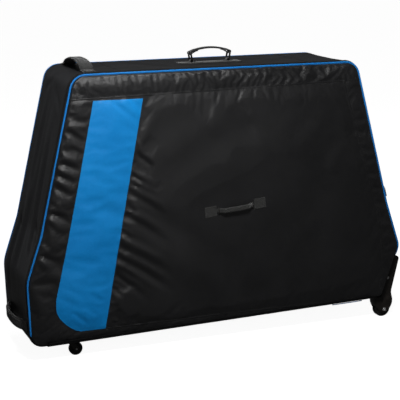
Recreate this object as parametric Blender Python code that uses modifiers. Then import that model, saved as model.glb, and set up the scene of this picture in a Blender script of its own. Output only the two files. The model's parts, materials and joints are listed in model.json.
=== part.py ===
"""A soft travel bag for a bicycle, standing on its wheels.

Metres, +Z up. The bag is long in X and thin in Y; its near side faces -Y. The origin is on the floor
under the middle of the bag. A side outline of straight stretches and round corners drives every panel.
"""

import math

import bmesh
import bpy
from mathutils import Matrix, Vector

# Side outline: corners of the gusset's outer face as (x, z), and the radius that rounds each
FOOT_LEFT_X, FOOT_LEFT_Z, FOOT_LEFT_RADIUS = -0.604, 0.050, 0.040
BULGE_LEFT_X, BULGE_LEFT_Z, BULGE_RADIUS = -0.6115, 0.250, 0.120
KINK_LEFT_X, KINK_LEFT_Z, KINK_RADIUS = -0.566, 0.385, 0.150
TOP_LEFT_X, TOP_RIGHT_X, TOP_RADIUS = -0.461, 0.448, 0.050
TOP_LEFT_Z, TOP_RIGHT_Z = 0.847, 0.849
KINK_RIGHT_X, KINK_RIGHT_Z = 0.572, 0.392
BULGE_RIGHT_X, BULGE_RIGHT_Z, BULGE_RIGHT_RADIUS = 0.6225, 0.245, 0.050
FOOT_RIGHT_X, FOOT_RIGHT_Z, FOOT_RIGHT_RADIUS = 0.5645, 0.0763, 0.012
LEAST_RADIUS = 0.003
HEM_Z = 0.098

# Depth of the bag, and the layers of its walls
HALF_DEPTH = 0.145
GUSSET_WALL = 0.006
PANEL_RIM = 0.0043
PANEL_CROWN = 0.010
CROWN_BAND = 0.038
PIPING_RADIUS = 0.0022
FOAM_THICKNESS = 0.008
POCKET_THICKNESS = 0.002
GAP = 0.0003
TOP_SEAM_X = 0.30

# Blue cloth panel of the near side, its edges as places on the panel's flat
STRIPE_TOP_Z, STRIPE_BOTTOM_Z = 0.771, 0.092
STRIPE_TOP_LEFT_X, STRIPE_TOP_WIDTH = -0.404, 0.150
STRIPE_BULGE_X, STRIPE_BULGE_Z = -0.526, 0.168
STRIPE_BOTTOM_RIGHT_X = -0.379
STRIPE_CORNER_X, STRIPE_CORNER_Z = 0.060, 0.058
STRIPE_THICKNESS = 0.0008

# Side handles: patches sewn flat and a grip that stands out between them
HANDLE_X, HANDLE_Z, HANDLE_TILT = 0.0355, 0.4240, math.radians(5.0)
GRIP_LENGTH = 0.122
PATCH_LENGTH, PATCH_HEIGHT, PATCH_THICKNESS = 0.039, 0.033, 0.002
GRIP_RADIUS, GRIP_END_RADIUS, GRIP_STANDOFF = 0.0080, 0.0030, 0.0180

# Top handle: base, keepers, rings and strap grip
TOP_HANDLE_X, RING_INSET = 0.015, 0.0425
HANDLE_BASE_LENGTH, HANDLE_BASE_WIDTH, WEBBING = 0.205, 0.045, 0.0022
RING_WIDTH, RING_HEIGHT, RING_WIRE = 0.026, 0.024, 0.0020
KEEPER_WIDTH, KEEPER_FOOT = 0.017, 0.013
KEEPER_WEBBING = 0.0012
TOP_GRIP_WIDTH, TOP_GRIP_THICKNESS, TOP_GRIP_RISE = 0.0165, 0.0022, 0.0165
WRAP_CLEARANCE = 0.0005

# Grab straps over the top left corner and across the lower left edge
TOP_GRAB_X, TOP_GRAB_WIDTH, TOP_GRAB_INSET, TOP_GRAB_ARCH = -0.402, 0.040, 0.024, 0.026
LOW_GRAB_Z, LOW_GRAB_WIDTH, LOW_GRAB_INSET, LOW_GRAB_ARCH = 0.112, 0.034, 0.023, 0.0196
GRAB_THICKNESS, GRAB_FOOT = 0.0035, 0.030

# Fixed wheels at the lower right, and their moulded housings
WHEEL_X, WHEEL_INSET, WHEEL_RADIUS, WHEEL_WIDTH = 0.584, 0.040, 0.027, 0.024
HOUSING_WIDTH, HOUSING_TOP_Z, LEG_THICKNESS = 0.042, 0.208, 0.0270
WHEEL_WELL_CLEARANCE, AXLE_RADIUS, AXLE_HEAD_RADIUS, AXLE_HEAD = 0.0025, 0.0035, 0.0055, 0.0020
HUB_RADIUS = 0.018
RUNNING_CLEARANCE = 0.0004
SCREW_SHARE, SCREW_RADIUS, SCREW_HEAD = 0.36, 0.0035, 0.0015

# Swivel casters at the lower left
CASTER_STEM_X, CASTER_INSET, CASTER_TRAIL = -0.476, 0.049, 0.020
CASTER_RADIUS, CASTER_WIDTH = 0.0205, 0.018
CASTER_PLATE_LENGTH, CASTER_PLATE_WIDTH, CASTER_PLATE_THICKNESS = 0.048, 0.040, 0.0025
FORK_CROWN_RADIUS, FORK_CROWN_THICKNESS, FORK_CHEEK, FORK_CHEEK_RADIUS = 0.016, 0.0032, 0.0022, 0.0075
CASTER_AXLE_RADIUS = 0.0025

# Zip tape behind the near piping, its slider and pull
TAPE_WIDTH, TAPE_THICKNESS, TAPE_SETBACK = 0.014, 0.0012, 0.0025
TAPE_END_Z = 0.300
SLIDER_LENGTH, SLIDER_WIDTH, SLIDER_HEIGHT = 0.014, 0.009, 0.0040
SLIDER_PARK = 0.040
PULL_LENGTH, PULL_WIDTH, PULL_THICKNESS, PULL_PIN = 0.030, 0.008, 0.0018, 0.0007

# Hardware inside: base board, rail and the mounts that slide on it
BOARD_END_CLEARANCE, BOARD_SIDE_CLEARANCE, BOARD_THICKNESS = 0.014, 0.0045, 0.005
RAIL_LENGTH, RAIL_WIDTH, RAIL_HEIGHT = 0.860, 0.030, 0.014
CARRIAGE_LENGTH, CARRIAGE_WALL = 0.060, 0.008
POST_LENGTH, POST_WIDTH = 0.030, 0.020
DUMMY_HUB_RADIUS, DROPOUT_RADIUS, DROPOUT_SEAT = 0.0105, 0.0045, 0.0070
FORK_X, FORK_HEIGHT, FORK_HUB_LENGTH = 0.330, 0.095, 0.100
REAR_X, REAR_HEIGHT, REAR_HUB_LENGTH = -0.330, 0.095, 0.130
LEVER_LENGTH, LEVER_WIDTH, LEVER_THICKNESS = 0.050, 0.012, 0.005
LEVER_SEAT, LEVER_HEEL = 0.004, 0.001
BRACKET_X, BRACKET_HEIGHT = -0.020, 0.040
PAD_LENGTH, PAD_WIDTH, PAD_THICKNESS = 0.070, 0.060, 0.010

ARC_STEP = math.radians(13.0)
OVERRUN = 0.010
WELD_DISTANCE = 0.00001

BLACK_CLOTH = ("black_cloth", (0.018, 0.018, 0.020), 0.45, 0.0)
BASE_CLOTH = ("base_cloth", (0.012, 0.012, 0.013), 0.60, 0.0)
BLUE_CLOTH = ("blue_cloth", (0.006, 0.165, 0.540), 0.40, 0.0)
BLUE_PIPING = ("blue_piping", (0.010, 0.230, 0.680), 0.35, 0.0)
WEBBING_LOOK = ("webbing", (0.050, 0.050, 0.052), 0.70, 0.0)
BLACK_PLASTIC = ("black_plastic", (0.016, 0.016, 0.017), 0.38, 0.0)
GREY_PLASTIC = ("grey_plastic", (0.060, 0.060, 0.062), 0.42, 0.0)
RUBBER = ("rubber", (0.020, 0.020, 0.020), 0.75, 0.0)
STEEL = ("steel", (0.620, 0.620, 0.630), 0.28, 1.0)
ALUMINIUM = ("aluminium", (0.700, 0.700, 0.710), 0.35, 1.0)
FOAM = ("foam", (0.110, 0.110, 0.115), 0.90, 0.0)
MESH_POCKET = ("pocket_mesh", (0.030, 0.030, 0.032), 0.85, 0.0)


# Scene and helpers

def clear_scene():
    for item in list(bpy.data.objects):
        bpy.data.objects.remove(item, do_unlink=True)


def new_collection(name):
    collection = bpy.data.collections.new(name)
    bpy.context.scene.collection.children.link(collection)
    return collection


def finish_of(look):
    """The Principled material of a look, made once."""
    name, colour, roughness, metallic = look
    found = bpy.data.materials.get(name)
    if found:
        return found
    made = bpy.data.materials.new(name)
    made.use_nodes = True
    shader = made.node_tree.nodes["Principled BSDF"]
    shader.inputs["Base Color"].default_value = (*colour, 1.0)
    shader.inputs["Roughness"].default_value = roughness
    shader.inputs["Metallic"].default_value = metallic
    made.diffuse_color = (*colour, 1.0)
    return made


def place(name, data, look, parent=None):
    """Links new data to the bag's collection as one sub-part."""
    item = bpy.data.objects.new(name, data)
    data.materials.append(finish_of(look))
    PARTS.objects.link(item)
    item.parent = parent
    return item


def mesh_of(work, smooth=False):
    mesh = bpy.data.meshes.new("shape")
    bmesh.ops.recalc_face_normals(work, faces=work.faces)
    work.to_mesh(mesh)
    work.free()
    if smooth:
        mesh.shade_smooth()
        mesh.set_sharp_from_angle(angle=math.radians(35.0))
    return mesh


def box(name, size, centre, look, bevel=0.0, parent=None):
    """A box, with its edges rounded where a bevel is given."""
    work = bmesh.new()
    bmesh.ops.create_cube(work, size=1.0, matrix=Matrix.Diagonal((*size, 1.0)))
    item = place(name, mesh_of(work), look, parent)
    item.location = centre
    if bevel:
        add_bevel(item, bevel)
    return item


def add_bevel(item, width, segments=2):
    rounding = item.modifiers.new("rounding", "BEVEL")
    rounding.width = width
    rounding.segments = segments
    rounding.limit_method = "ANGLE"
    rounding.angle_limit = math.radians(40.0)


def cylinder(name, radius, length, centre, turn, look, segments=24, parent=None):
    """A cylinder along its own Z, turned by the rotation given."""
    work = bmesh.new()
    bmesh.ops.create_cone(work, cap_ends=True, segments=segments, radius1=radius, radius2=radius,
                          depth=length)
    item = place(name, mesh_of(work, smooth=True), look, parent)
    item.location = centre
    item.rotation_euler = turn
    return item


def turned(name, profile, centre, turn, look, steps=28, parent=None):
    """A closed profile of (radius, height), top to bottom on its outer side, turned about its own Z."""
    work = bmesh.new()
    corners = [work.verts.new((radius, 0.0, height)) for radius, height in profile]
    for start, end in zip(corners, corners[1:] + corners[:1]):
        work.edges.new((start, end))
    mesh = bpy.data.meshes.new("profile")
    work.to_mesh(mesh)
    work.free()
    item = place(name, mesh, look, parent)
    item.location = centre
    item.rotation_euler = turn
    spin = item.modifiers.new("spin", "SCREW")
    spin.steps = steps
    spin.render_steps = steps
    spin.use_merge_vertices = True
    spin.merge_threshold = WELD_DISTANCE
    spin.use_smooth_shade = False
    return item


def stepped_pin(name, profile, centre, look, parent=None):
    """A solid pin lying along Y, from a profile of (radius, height) that starts and ends at its rims."""
    work = bmesh.new()
    radii = [(0.0, profile[0][1])] + profile + [(0.0, profile[-1][1])]
    corners = [work.verts.new((radius, 0.0, height)) for radius, height in radii]
    for start, end in zip(corners, corners[1:]):
        work.edges.new((start, end))
    bmesh.ops.spin(work, geom=work.verts[:] + work.edges[:], cent=(0.0, 0.0, 0.0), axis=(0.0, 0.0, 1.0),
                   angle=2 * math.pi, steps=20, use_merge=True)
    bmesh.ops.remove_doubles(work, verts=work.verts, dist=WELD_DISTANCE)
    item = place(name, mesh_of(work, smooth=True), look, parent)
    item.location = centre
    item.rotation_euler = (math.pi / 2, 0.0, 0.0)
    return item


def plate(name, points, y_from, y_to, look, parent=None):
    """A flat outline of (x, z) points standing in the XZ plane, from one y to another."""
    curve = bpy.data.curves.new(name, "CURVE")
    curve.dimensions = "2D"
    curve.fill_mode = "BOTH"
    curve.extrude = abs(y_to - y_from) / 2
    spline = curve.splines.new("POLY")
    spline.points.add(len(points) - 1)
    for point, (x, z) in zip(spline.points, points):
        point.co = (x, z, 0.0, 1.0)
    spline.use_cyclic_u = True
    item = place(name, curve, look, parent)
    item.rotation_euler = (math.pi / 2, 0.0, 0.0)
    item.location = (0.0, (y_from + y_to) / 2, 0.0)
    return item


def tube(name, points, radius, look, radii=None, cyclic=False, parent=None):
    """A round tube along points, each with its own share of the radius where given."""
    curve = bpy.data.curves.new(name, "CURVE")
    curve.dimensions = "3D"
    curve.bevel_depth = radius
    curve.bevel_resolution = 2
    curve.use_fill_caps = True
    spline = curve.splines.new("POLY")
    spline.points.add(len(points) - 1)
    for number, place_of in enumerate(points):
        spline.points[number].co = (*place_of, 1.0)
        if radii:
            spline.points[number].radius = radii[number]
    spline.use_cyclic_u = cyclic
    return place(name, curve, look, parent)


def as_mesh(item):
    """Turns a curve object into a welded mesh object, which can be cut."""
    depsgraph = bpy.context.evaluated_depsgraph_get()
    mesh = bpy.data.meshes.new_from_object(item.evaluated_get(depsgraph))
    work = bmesh.new()
    work.from_mesh(mesh)
    bmesh.ops.remove_doubles(work, verts=work.verts, dist=WELD_DISTANCE)
    work.to_mesh(mesh)
    work.free()
    name, parent, matrix = item.name, item.parent, item.matrix_world.copy()
    bpy.data.objects.remove(item, do_unlink=True)
    solid = bpy.data.objects.new(name, mesh)
    PARTS.objects.link(solid)
    solid.parent = parent
    solid.matrix_world = matrix
    return solid


def band(name, path, across, thickness, look, parent=None):
    """A strip of cloth or webbing: an open path carried across its width, then given its thickness."""
    work = bmesh.new()
    rows = []
    for point in path:
        middle = Vector(point)
        rows.append((work.verts.new(middle - across), work.verts.new(middle + across)))
    for (a, b), (c, d) in zip(rows, rows[1:]):
        work.faces.new((a, b, d, c))
    mesh = bpy.data.meshes.new("strip")
    work.to_mesh(mesh)
    work.free()
    item = place(name, mesh, look, parent)
    wall = item.modifiers.new("wall", "SOLIDIFY")
    wall.thickness = thickness
    wall.offset = 0.0
    wall.use_even_offset = True
    return item


def cut(item, cutter, operation="DIFFERENCE"):
    """Cuts a cutter out of a piece, or joins it on, and files it with the cutters."""
    for owner in list(cutter.users_collection):
        owner.objects.unlink(cutter)
    CUTTERS.objects.link(cutter)
    cutter.hide_render = True
    cutter.display_type = "WIRE"
    step = item.modifiers.new(cutter.name, "BOOLEAN")
    step.operation = operation
    step.object = cutter
    step.solver = "EXACT"


# The side outline

def corners_of_side():
    """Corners clockwise from the lower left: name, place and rounding."""
    return [
        ("foot_left", Vector((FOOT_LEFT_X, FOOT_LEFT_Z)), FOOT_LEFT_RADIUS),
        ("bulge_left", Vector((BULGE_LEFT_X, BULGE_LEFT_Z)), BULGE_RADIUS),
        ("kink_left", Vector((KINK_LEFT_X, KINK_LEFT_Z)), KINK_RADIUS),
        ("top_left", Vector((TOP_LEFT_X, TOP_LEFT_Z)), TOP_RADIUS),
        ("top_right", Vector((TOP_RIGHT_X, TOP_RIGHT_Z)), TOP_RADIUS),
        ("kink_right", Vector((KINK_RIGHT_X, KINK_RIGHT_Z)), KINK_RADIUS),
        ("bulge_right", Vector((BULGE_RIGHT_X, BULGE_RIGHT_Z)), BULGE_RIGHT_RADIUS),
        ("foot_right", Vector((FOOT_RIGHT_X, FOOT_RIGHT_Z)), FOOT_RIGHT_RADIUS),
    ]


def side_outline(inset=0.0):
    """Each corner's rounded points, with the whole outline drawn in by an inset."""
    corners = corners_of_side()
    count = len(corners)
    headings = [(corners[(i + 1) % count][1] - corners[i][1]).normalized() for i in range(count)]
    outline = {}
    for i, (name, corner, radius) in enumerate(corners):
        before, after = headings[i - 1], headings[i]
        inward_before = Vector((before.y, -before.x))
        inward_after = Vector((after.y, -after.x))
        corner = corner + (inward_before + inward_after) * inset / (1.0 + inward_before.dot(inward_after))
        turn = math.atan2(before.x * after.y - before.y * after.x, before.dot(after))
        side = 1.0 if turn < 0.0 else -1.0
        rounded = max(radius - side * inset, LEAST_RADIUS)
        reach = rounded * math.tan(abs(turn) / 2)
        start = corner - before * reach
        centre = start + inward_before * side * rounded
        steps = max(2, math.ceil(abs(turn) / ARC_STEP))
        arc = []
        for k in range(steps + 1):
            angle = turn * k / steps
            spoke = start - centre
            arc.append(centre + Vector((spoke.x * math.cos(angle) - spoke.y * math.sin(angle),
                                        spoke.x * math.sin(angle) + spoke.y * math.cos(angle))))
        outline[name] = arc
    return outline


def closed_outline(inset):
    return [point for arc in side_outline(inset).values() for point in arc]


def base_z(x):
    """Height of the base's underside over the floor."""
    share = (x - FOOT_LEFT_X) / (FOOT_RIGHT_X - FOOT_LEFT_X)
    return FOOT_LEFT_Z + share * (FOOT_RIGHT_Z - FOOT_LEFT_Z)


def top_z(x):
    """Height of the top gusset's outer face."""
    share = (x - TOP_LEFT_X) / (TOP_RIGHT_X - TOP_LEFT_X)
    return TOP_LEFT_Z + share * (TOP_RIGHT_Z - TOP_LEFT_Z)


def end_x(z):
    """Place of the left end's outer face below its bulge."""
    share = (z - FOOT_LEFT_Z) / (BULGE_LEFT_Z - FOOT_LEFT_Z)
    return FOOT_LEFT_X + share * (BULGE_LEFT_X - FOOT_LEFT_X)


def drawn_back(points, distance):
    """An open run with both its ends drawn back by a distance."""
    ends = list(points)
    ends[0] = points[0] + (points[1] - points[0]).normalized() * distance
    ends[-1] = points[-1] + (points[-2] - points[-1]).normalized() * distance
    return ends


def upright(points, y=0.0):
    return [Vector((point.x, y, point.y)) for point in points]


# Bag body

def make_gusset():
    """Left end, top, right end and base, four bands of padded cloth that meet edge to edge."""
    middle = side_outline(GUSSET_WALL / 2)
    seam_left = Vector((-TOP_SEAM_X, top_z(-TOP_SEAM_X) - GUSSET_WALL / 2))
    seam_right = Vector((TOP_SEAM_X, top_z(TOP_SEAM_X) - GUSSET_WALL / 2))
    hem_left = outline_point_at(middle["foot_left"][-1], middle["bulge_left"][0], HEM_Z)
    hem_right = outline_point_at(middle["bulge_right"][-1], middle["foot_right"][0], HEM_Z)
    left_end = middle["bulge_left"] + middle["kink_left"] + middle["top_left"]
    right_end = middle["top_right"] + middle["kink_right"] + middle["bulge_right"]
    runs = {
        "left_end_panel": [hem_left] + left_end + [seam_left],
        "top_panel": [seam_left, seam_right],
        "right_end_panel": [seam_right] + right_end + [hem_right],
        "base_panel": [hem_right] + middle["foot_right"] + middle["foot_left"] + [hem_left],
    }
    across = Vector((0.0, gusset_half_width(), 0.0))
    for name, run in runs.items():
        look = BASE_CLOTH if name == "base_panel" else BLACK_CLOTH
        band(name, upright(drawn_back(run, GAP / 2)), across, GUSSET_WALL, look)


def gusset_half_width():
    return HALF_DEPTH - PANEL_RIM - GAP


def crowned_panel(name, side, look, parent=None):
    """A side panel: flat inside, and rising outside from its rim to a flat crown."""
    rim = 2 * PIPING_RADIUS + GAP
    back = side * (HALF_DEPTH - PANEL_RIM)
    rings = [(rim, back)]
    steps = 4
    for k in range(steps + 1):
        angle = math.pi / 2 * k / steps
        inset = rim + CROWN_BAND * (1.0 - math.cos(angle))
        rings.append((inset, side * (HALF_DEPTH + PANEL_CROWN * math.sin(angle))))
    work = bmesh.new()
    loops = [[work.verts.new((p.x, y, p.y)) for p in closed_outline(inset)] for inset, y in rings]
    for inner, outer in zip(loops, loops[1:]):
        for i in range(len(inner)):
            j = (i + 1) % len(inner)
            work.faces.new((inner[i], inner[j], outer[j], outer[i]))
    work.faces.new(loops[0])
    work.faces.new(loops[-1])
    item = place(name, mesh_of(work, smooth=True), look)
    attach(item, parent)
    return item


def attach(item, parent):
    """Parents a piece that is already in its place in the world."""
    if parent:
        item.parent = parent
        item.matrix_parent_inverse = parent.matrix_world.inverted()


def panel_face():
    """Distance from the centre plane to the flat of a side panel's crown."""
    return HALF_DEPTH + PANEL_CROWN


def make_piping(name, side, parent=None):
    """Blue piping from the lower left corner over the top and down to the right housing's tip."""
    edge = side_outline(PIPING_RADIUS)
    stop = outline_point_at(edge["kink_right"][-1], edge["bulge_right"][0], HOUSING_TOP_Z + CROWN_BAND)
    run = [edge["foot_left"][-1]] + edge["bulge_left"] + edge["kink_left"] + edge["top_left"]
    run += edge["top_right"] + edge["kink_right"] + [stop]
    points = upright(run, side * (HALF_DEPTH - PIPING_RADIUS))
    attach(tube(name, points, PIPING_RADIUS, BLUE_PIPING), parent)


def outline_point_at(start, end, z):
    """The point at height z on the line through two outline points."""
    return start + (end - start) * ((z - start.y) / (end.y - start.y))


def make_side_layers(side_name, side, parent):
    """Foam board and flat wheel pocket on the inside of a side panel."""
    outer = side * (HALF_DEPTH - PANEL_RIM - GAP / 2)
    inner = outer - side * FOAM_THICKNESS
    board = plate(side_name + "_foam_board", closed_outline(GUSSET_WALL + 2 * GAP), outer, inner, FOAM)
    attach(board, parent)
    start = inner - side * GAP
    pocket = plate(side_name + "_wheel_pocket", pocket_outline(), start, start - side * POCKET_THICKNESS,
                   MESH_POCKET)
    attach(pocket, parent)


def pocket_outline():
    """A round-bottomed pocket for a wheel, in the middle of the panel."""
    height = TOP_LEFT_Z - FOOT_RIGHT_Z
    radius = height * 0.42
    centre_z = (TOP_LEFT_Z + FOOT_RIGHT_Z) / 2
    steps = 20
    points = []
    for k in range(steps + 1):
        angle = math.pi * (1.0 + k / steps)
        points.append((radius * math.cos(angle), centre_z + radius * math.sin(angle)))
    points.append((radius, centre_z + radius * 0.55))
    points.append((-radius, centre_z + radius * 0.55))
    return points


def make_stripe(parent):
    """The blue cloth panel on the near side, with its rounded lower left corner."""
    corner = Vector((STRIPE_BULGE_X, STRIPE_BOTTOM_Z))
    points = [(STRIPE_TOP_LEFT_X, STRIPE_TOP_Z), (STRIPE_TOP_LEFT_X + STRIPE_TOP_WIDTH, STRIPE_TOP_Z),
              (STRIPE_BOTTOM_RIGHT_X, STRIPE_BOTTOM_Z)]
    steps = 6
    for k in range(steps + 1):
        angle = math.pi / 2 * k / steps
        points.append((corner.x + STRIPE_CORNER_X * (1.0 - math.sin(angle)),
                       corner.y + STRIPE_CORNER_Z * (1.0 - math.cos(angle))))
    points.append((STRIPE_BULGE_X, STRIPE_BULGE_Z))
    face = -panel_face() - GAP
    attach(plate("near_stripe", points, face, face - STRIPE_THICKNESS, BLUE_CLOTH), parent)


# Side handles

def make_side_handle(side_name, side, patch_parent):
    """Two stitched patches, and a grip on an empty that lies on the grip's swing axis."""
    face = side * (panel_face() + GAP + PATCH_THICKNESS / 2)
    along = Vector((math.cos(HANDLE_TILT), 0.0, math.sin(HANDLE_TILT)))
    centre = Vector((HANDLE_X, face, HANDLE_Z))
    for end_name, end in (("left", -1), ("right", 1)):
        middle = centre + along * end * (GRIP_LENGTH / 2 + GAP + PATCH_LENGTH / 2)
        patch = box(side_name + "_patch_" + end_name, (PATCH_LENGTH, PATCH_THICKNESS, PATCH_HEIGHT), middle,
                    WEBBING_LOOK)
        patch.rotation_euler = (0.0, -HANDLE_TILT, 0.0)
        bpy.context.view_layer.update()
        attach(patch, patch_parent)
    pivot = bpy.data.objects.new(side_name + "_grip_axis", None)
    PARTS.objects.link(pivot)
    pivot.location = (HANDLE_X, side * (panel_face() + GRIP_END_RADIUS + 2 * GAP), HANDLE_Z)
    pivot.rotation_euler = (0.0, -HANDLE_TILT, 0.0)
    attach(pivot, patch_parent)
    rise = side * (GRIP_STANDOFF - GRIP_END_RADIUS)
    half = GRIP_LENGTH / 2
    rise_shares = (0.0, 0.05, 0.55, 1.0, 1.0, 0.55, 0.05, 0.0)
    place_shares = (-1.0, -0.90, -0.76, -0.55, 0.55, 0.76, 0.90, 1.0)
    end_share = GRIP_END_RADIUS / GRIP_RADIUS
    radius_shares = (end_share, end_share, 0.75, 1.0, 1.0, 0.75, end_share, end_share)
    points = [(half * along_share, rise * up_share, 0.0)
              for along_share, up_share in zip(place_shares, rise_shares)]
    tube(side_name + "_grip", points, GRIP_RADIUS, WEBBING_LOOK, radii=radius_shares, parent=pivot)


# Top handle

def arc_points(centre, radius, start, end, steps):
    """Points (x, z) on an arc between two angles in degrees, counted from +X towards +Z."""
    points = []
    for k in range(steps + 1):
        angle = math.radians(start + (end - start) * k / steps)
        points.append((centre[0] + radius * math.cos(angle), centre[1] + radius * math.sin(angle)))
    return points


def ring_axis_height():
    """Height over the top panel of the rings' lower bars, which turn in the keepers."""
    return 2 * GAP + WEBBING + keeper_radius() + KEEPER_WEBBING / 2


def keeper_radius():
    """Radius of the middle of the webbing where it goes round a ring's bar."""
    return RING_WIRE + WRAP_CLEARANCE + KEEPER_WEBBING / 2


def ring_half_span():
    return HANDLE_BASE_LENGTH / 2 - RING_INSET


def make_top_frame():
    """An empty on the top panel under the handle's middle, tilted as the top is."""
    frame = bpy.data.objects.new("top_frame", None)
    PARTS.objects.link(frame)
    frame.location = (TOP_HANDLE_X, 0.0, top_z(TOP_HANDLE_X))
    slope = math.atan2(TOP_RIGHT_Z - TOP_LEFT_Z, TOP_RIGHT_X - TOP_LEFT_X)
    frame.rotation_euler = (0.0, -slope, 0.0)
    return frame


def make_top_handle():
    """All of it hangs from one empty: base, keepers, rings on empties of their own, and the grip."""
    frame = make_top_frame()
    box("top_handle_base", (HANDLE_BASE_LENGTH, HANDLE_BASE_WIDTH, WEBBING), (0.0, 0.0, GAP + WEBBING / 2),
        WEBBING_LOOK, parent=frame)
    axis_height = ring_axis_height()
    for end_name, end in (("left", -1), ("right", 1)):
        x = end * ring_half_span()
        make_keeper("top_keeper_" + end_name, x, axis_height, frame)
        pivot = bpy.data.objects.new("top_ring_axis_" + end_name, None)
        PARTS.objects.link(pivot)
        pivot.parent = frame
        pivot.location = (x, 0.0, axis_height)
        half = RING_WIDTH / 2 - RING_WIRE
        corners = [(0.0, -half, 0.0), (0.0, half, 0.0), (0.0, half, RING_HEIGHT), (0.0, -half, RING_HEIGHT)]
        tube("top_ring_" + end_name, corners, RING_WIRE, BLACK_PLASTIC, cyclic=True, parent=pivot)
    make_top_grip(axis_height + RING_HEIGHT, frame)


def make_keeper(name, x, axis_height, frame):
    """A webbing loop over a ring's lower bar, sewn down on both sides."""
    radius = keeper_radius()
    seat = 3 * GAP + WEBBING + KEEPER_WEBBING / 2
    over = arc_points((x, axis_height), radius, 180.0, 0.0, 8)
    path = [(x - KEEPER_FOOT, seat), (x - radius - GAP, seat)] + over
    path += [(x + radius + GAP, seat), (x + KEEPER_FOOT, seat)]
    points = [Vector((px, 0.0, pz)) for px, pz in path]
    band(name, points, Vector((0.0, KEEPER_WIDTH / 2, 0.0)), KEEPER_WEBBING, WEBBING_LOOK, parent=frame)


def make_top_grip(bar_height, frame):
    """The strap grip: hooked round both rings' upper bars, and arched between them."""
    radius = RING_WIRE + WRAP_CLEARANCE + TOP_GRIP_THICKNESS / 2
    half = ring_half_span()
    hook = arc_points((-half, bar_height), radius, 330.0, 110.0, 9)
    rise_shares = (0.55, 0.86, 1.0)
    place_shares = (0.30, 0.62, 1.0)
    left = [Vector((px, 0.0, pz)) for px, pz in hook]
    for along_share, up_share in zip(place_shares, rise_shares):
        left.append(Vector((half * (along_share - 1.0), 0.0,
                            bar_height + radius + (TOP_GRIP_RISE - radius) * up_share)))
    right = [Vector((-point.x, 0.0, point.z)) for point in reversed(left[:-1])]
    across = Vector((0.0, TOP_GRIP_WIDTH / 2, 0.0))
    band("top_grip", left + right, across, TOP_GRIP_THICKNESS, WEBBING_LOOK, parent=frame)


# Grab straps

def grab_path(half, foot, arch):
    """Half widths and heights of a strap sewn flat at both ends and arched between."""
    free = half - foot
    path = [(-half, 0.0), (-free, 0.0)]
    steps = 10
    for k in range(1, steps):
        share = -1.0 + 2.0 * k / steps
        path.append((free * share, arch * (1.0 - share ** 2) ** 0.5))
    return path + [(free, 0.0), (half, 0.0)]


def make_grab_straps():
    seat = GAP + GRAB_THICKNESS / 2
    z = top_z(TOP_GRAB_X) + seat
    points = [Vector((TOP_GRAB_X, y, z + rise))
              for y, rise in grab_path(HALF_DEPTH - TOP_GRAB_INSET, GRAB_FOOT, TOP_GRAB_ARCH)]
    band("top_grab_strap", points, Vector((TOP_GRAB_WIDTH / 2, 0.0, 0.0)), GRAB_THICKNESS, WEBBING_LOOK)
    slope = Vector((BULGE_LEFT_X - FOOT_LEFT_X, 0.0, BULGE_LEFT_Z - FOOT_LEFT_Z)).normalized()
    outward = Vector((-slope.z, 0.0, slope.x))
    root = Vector((end_x(LOW_GRAB_Z), 0.0, LOW_GRAB_Z)) + outward * seat
    points = [root + outward * rise + Vector((0.0, y, 0.0))
              for y, rise in grab_path(HALF_DEPTH - LOW_GRAB_INSET, GRAB_FOOT, LOW_GRAB_ARCH)]
    band("low_grab_strap", points, slope * (LOW_GRAB_WIDTH / 2), GRAB_THICKNESS, WEBBING_LOOK)


# Wheels at the right

def make_fixed_wheel(side_name, side):
    y = side * (HALF_DEPTH - WHEEL_INSET)
    make_housing(side_name, y)
    lie = (math.pi / 2, 0.0, 0.0)
    centre = (WHEEL_X, y, WHEEL_RADIUS)
    half = WHEEL_WIDTH / 2
    tread = WHEEL_RADIUS
    shoulder = half * 0.55
    inner = HUB_RADIUS + GAP
    tyre = [(tread, shoulder), (tread, -shoulder), (tread - (half - shoulder), -half), (inner, -half),
            (inner, half), (tread - (half - shoulder), half)]
    turned(side_name + "_tyre", tyre, centre, lie, RUBBER, steps=36)
    bore = AXLE_RADIUS + RUNNING_CLEARANCE
    web = half * 0.45
    flange = HUB_RADIUS * 0.80
    boss = HUB_RADIUS * 0.42
    hub = [(HUB_RADIUS, half), (HUB_RADIUS, -half), (flange, -half), (flange, -web), (boss, -web),
           (boss, -half), (bore, -half), (bore, half), (boss, half), (boss, web), (flange, web),
           (flange, half)]
    turned(side_name + "_hub", hub, centre, lie, GREY_PLASTIC, steps=28)
    make_axle(side_name, y)


def make_axle(side_name, y):
    """A bolt right through the housing's cheeks, with a low round head at both ends."""
    half = HOUSING_WIDTH / 2 + GAP
    head = half + AXLE_HEAD
    profile = [(AXLE_HEAD_RADIUS, head), (AXLE_HEAD_RADIUS, half), (AXLE_RADIUS, half), (AXLE_RADIUS, -half),
               (AXLE_HEAD_RADIUS, -half), (AXLE_HEAD_RADIUS, -head)]
    stepped_pin(side_name + "_axle", profile, (WHEEL_X, y, WHEEL_RADIUS), STEEL)


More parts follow.
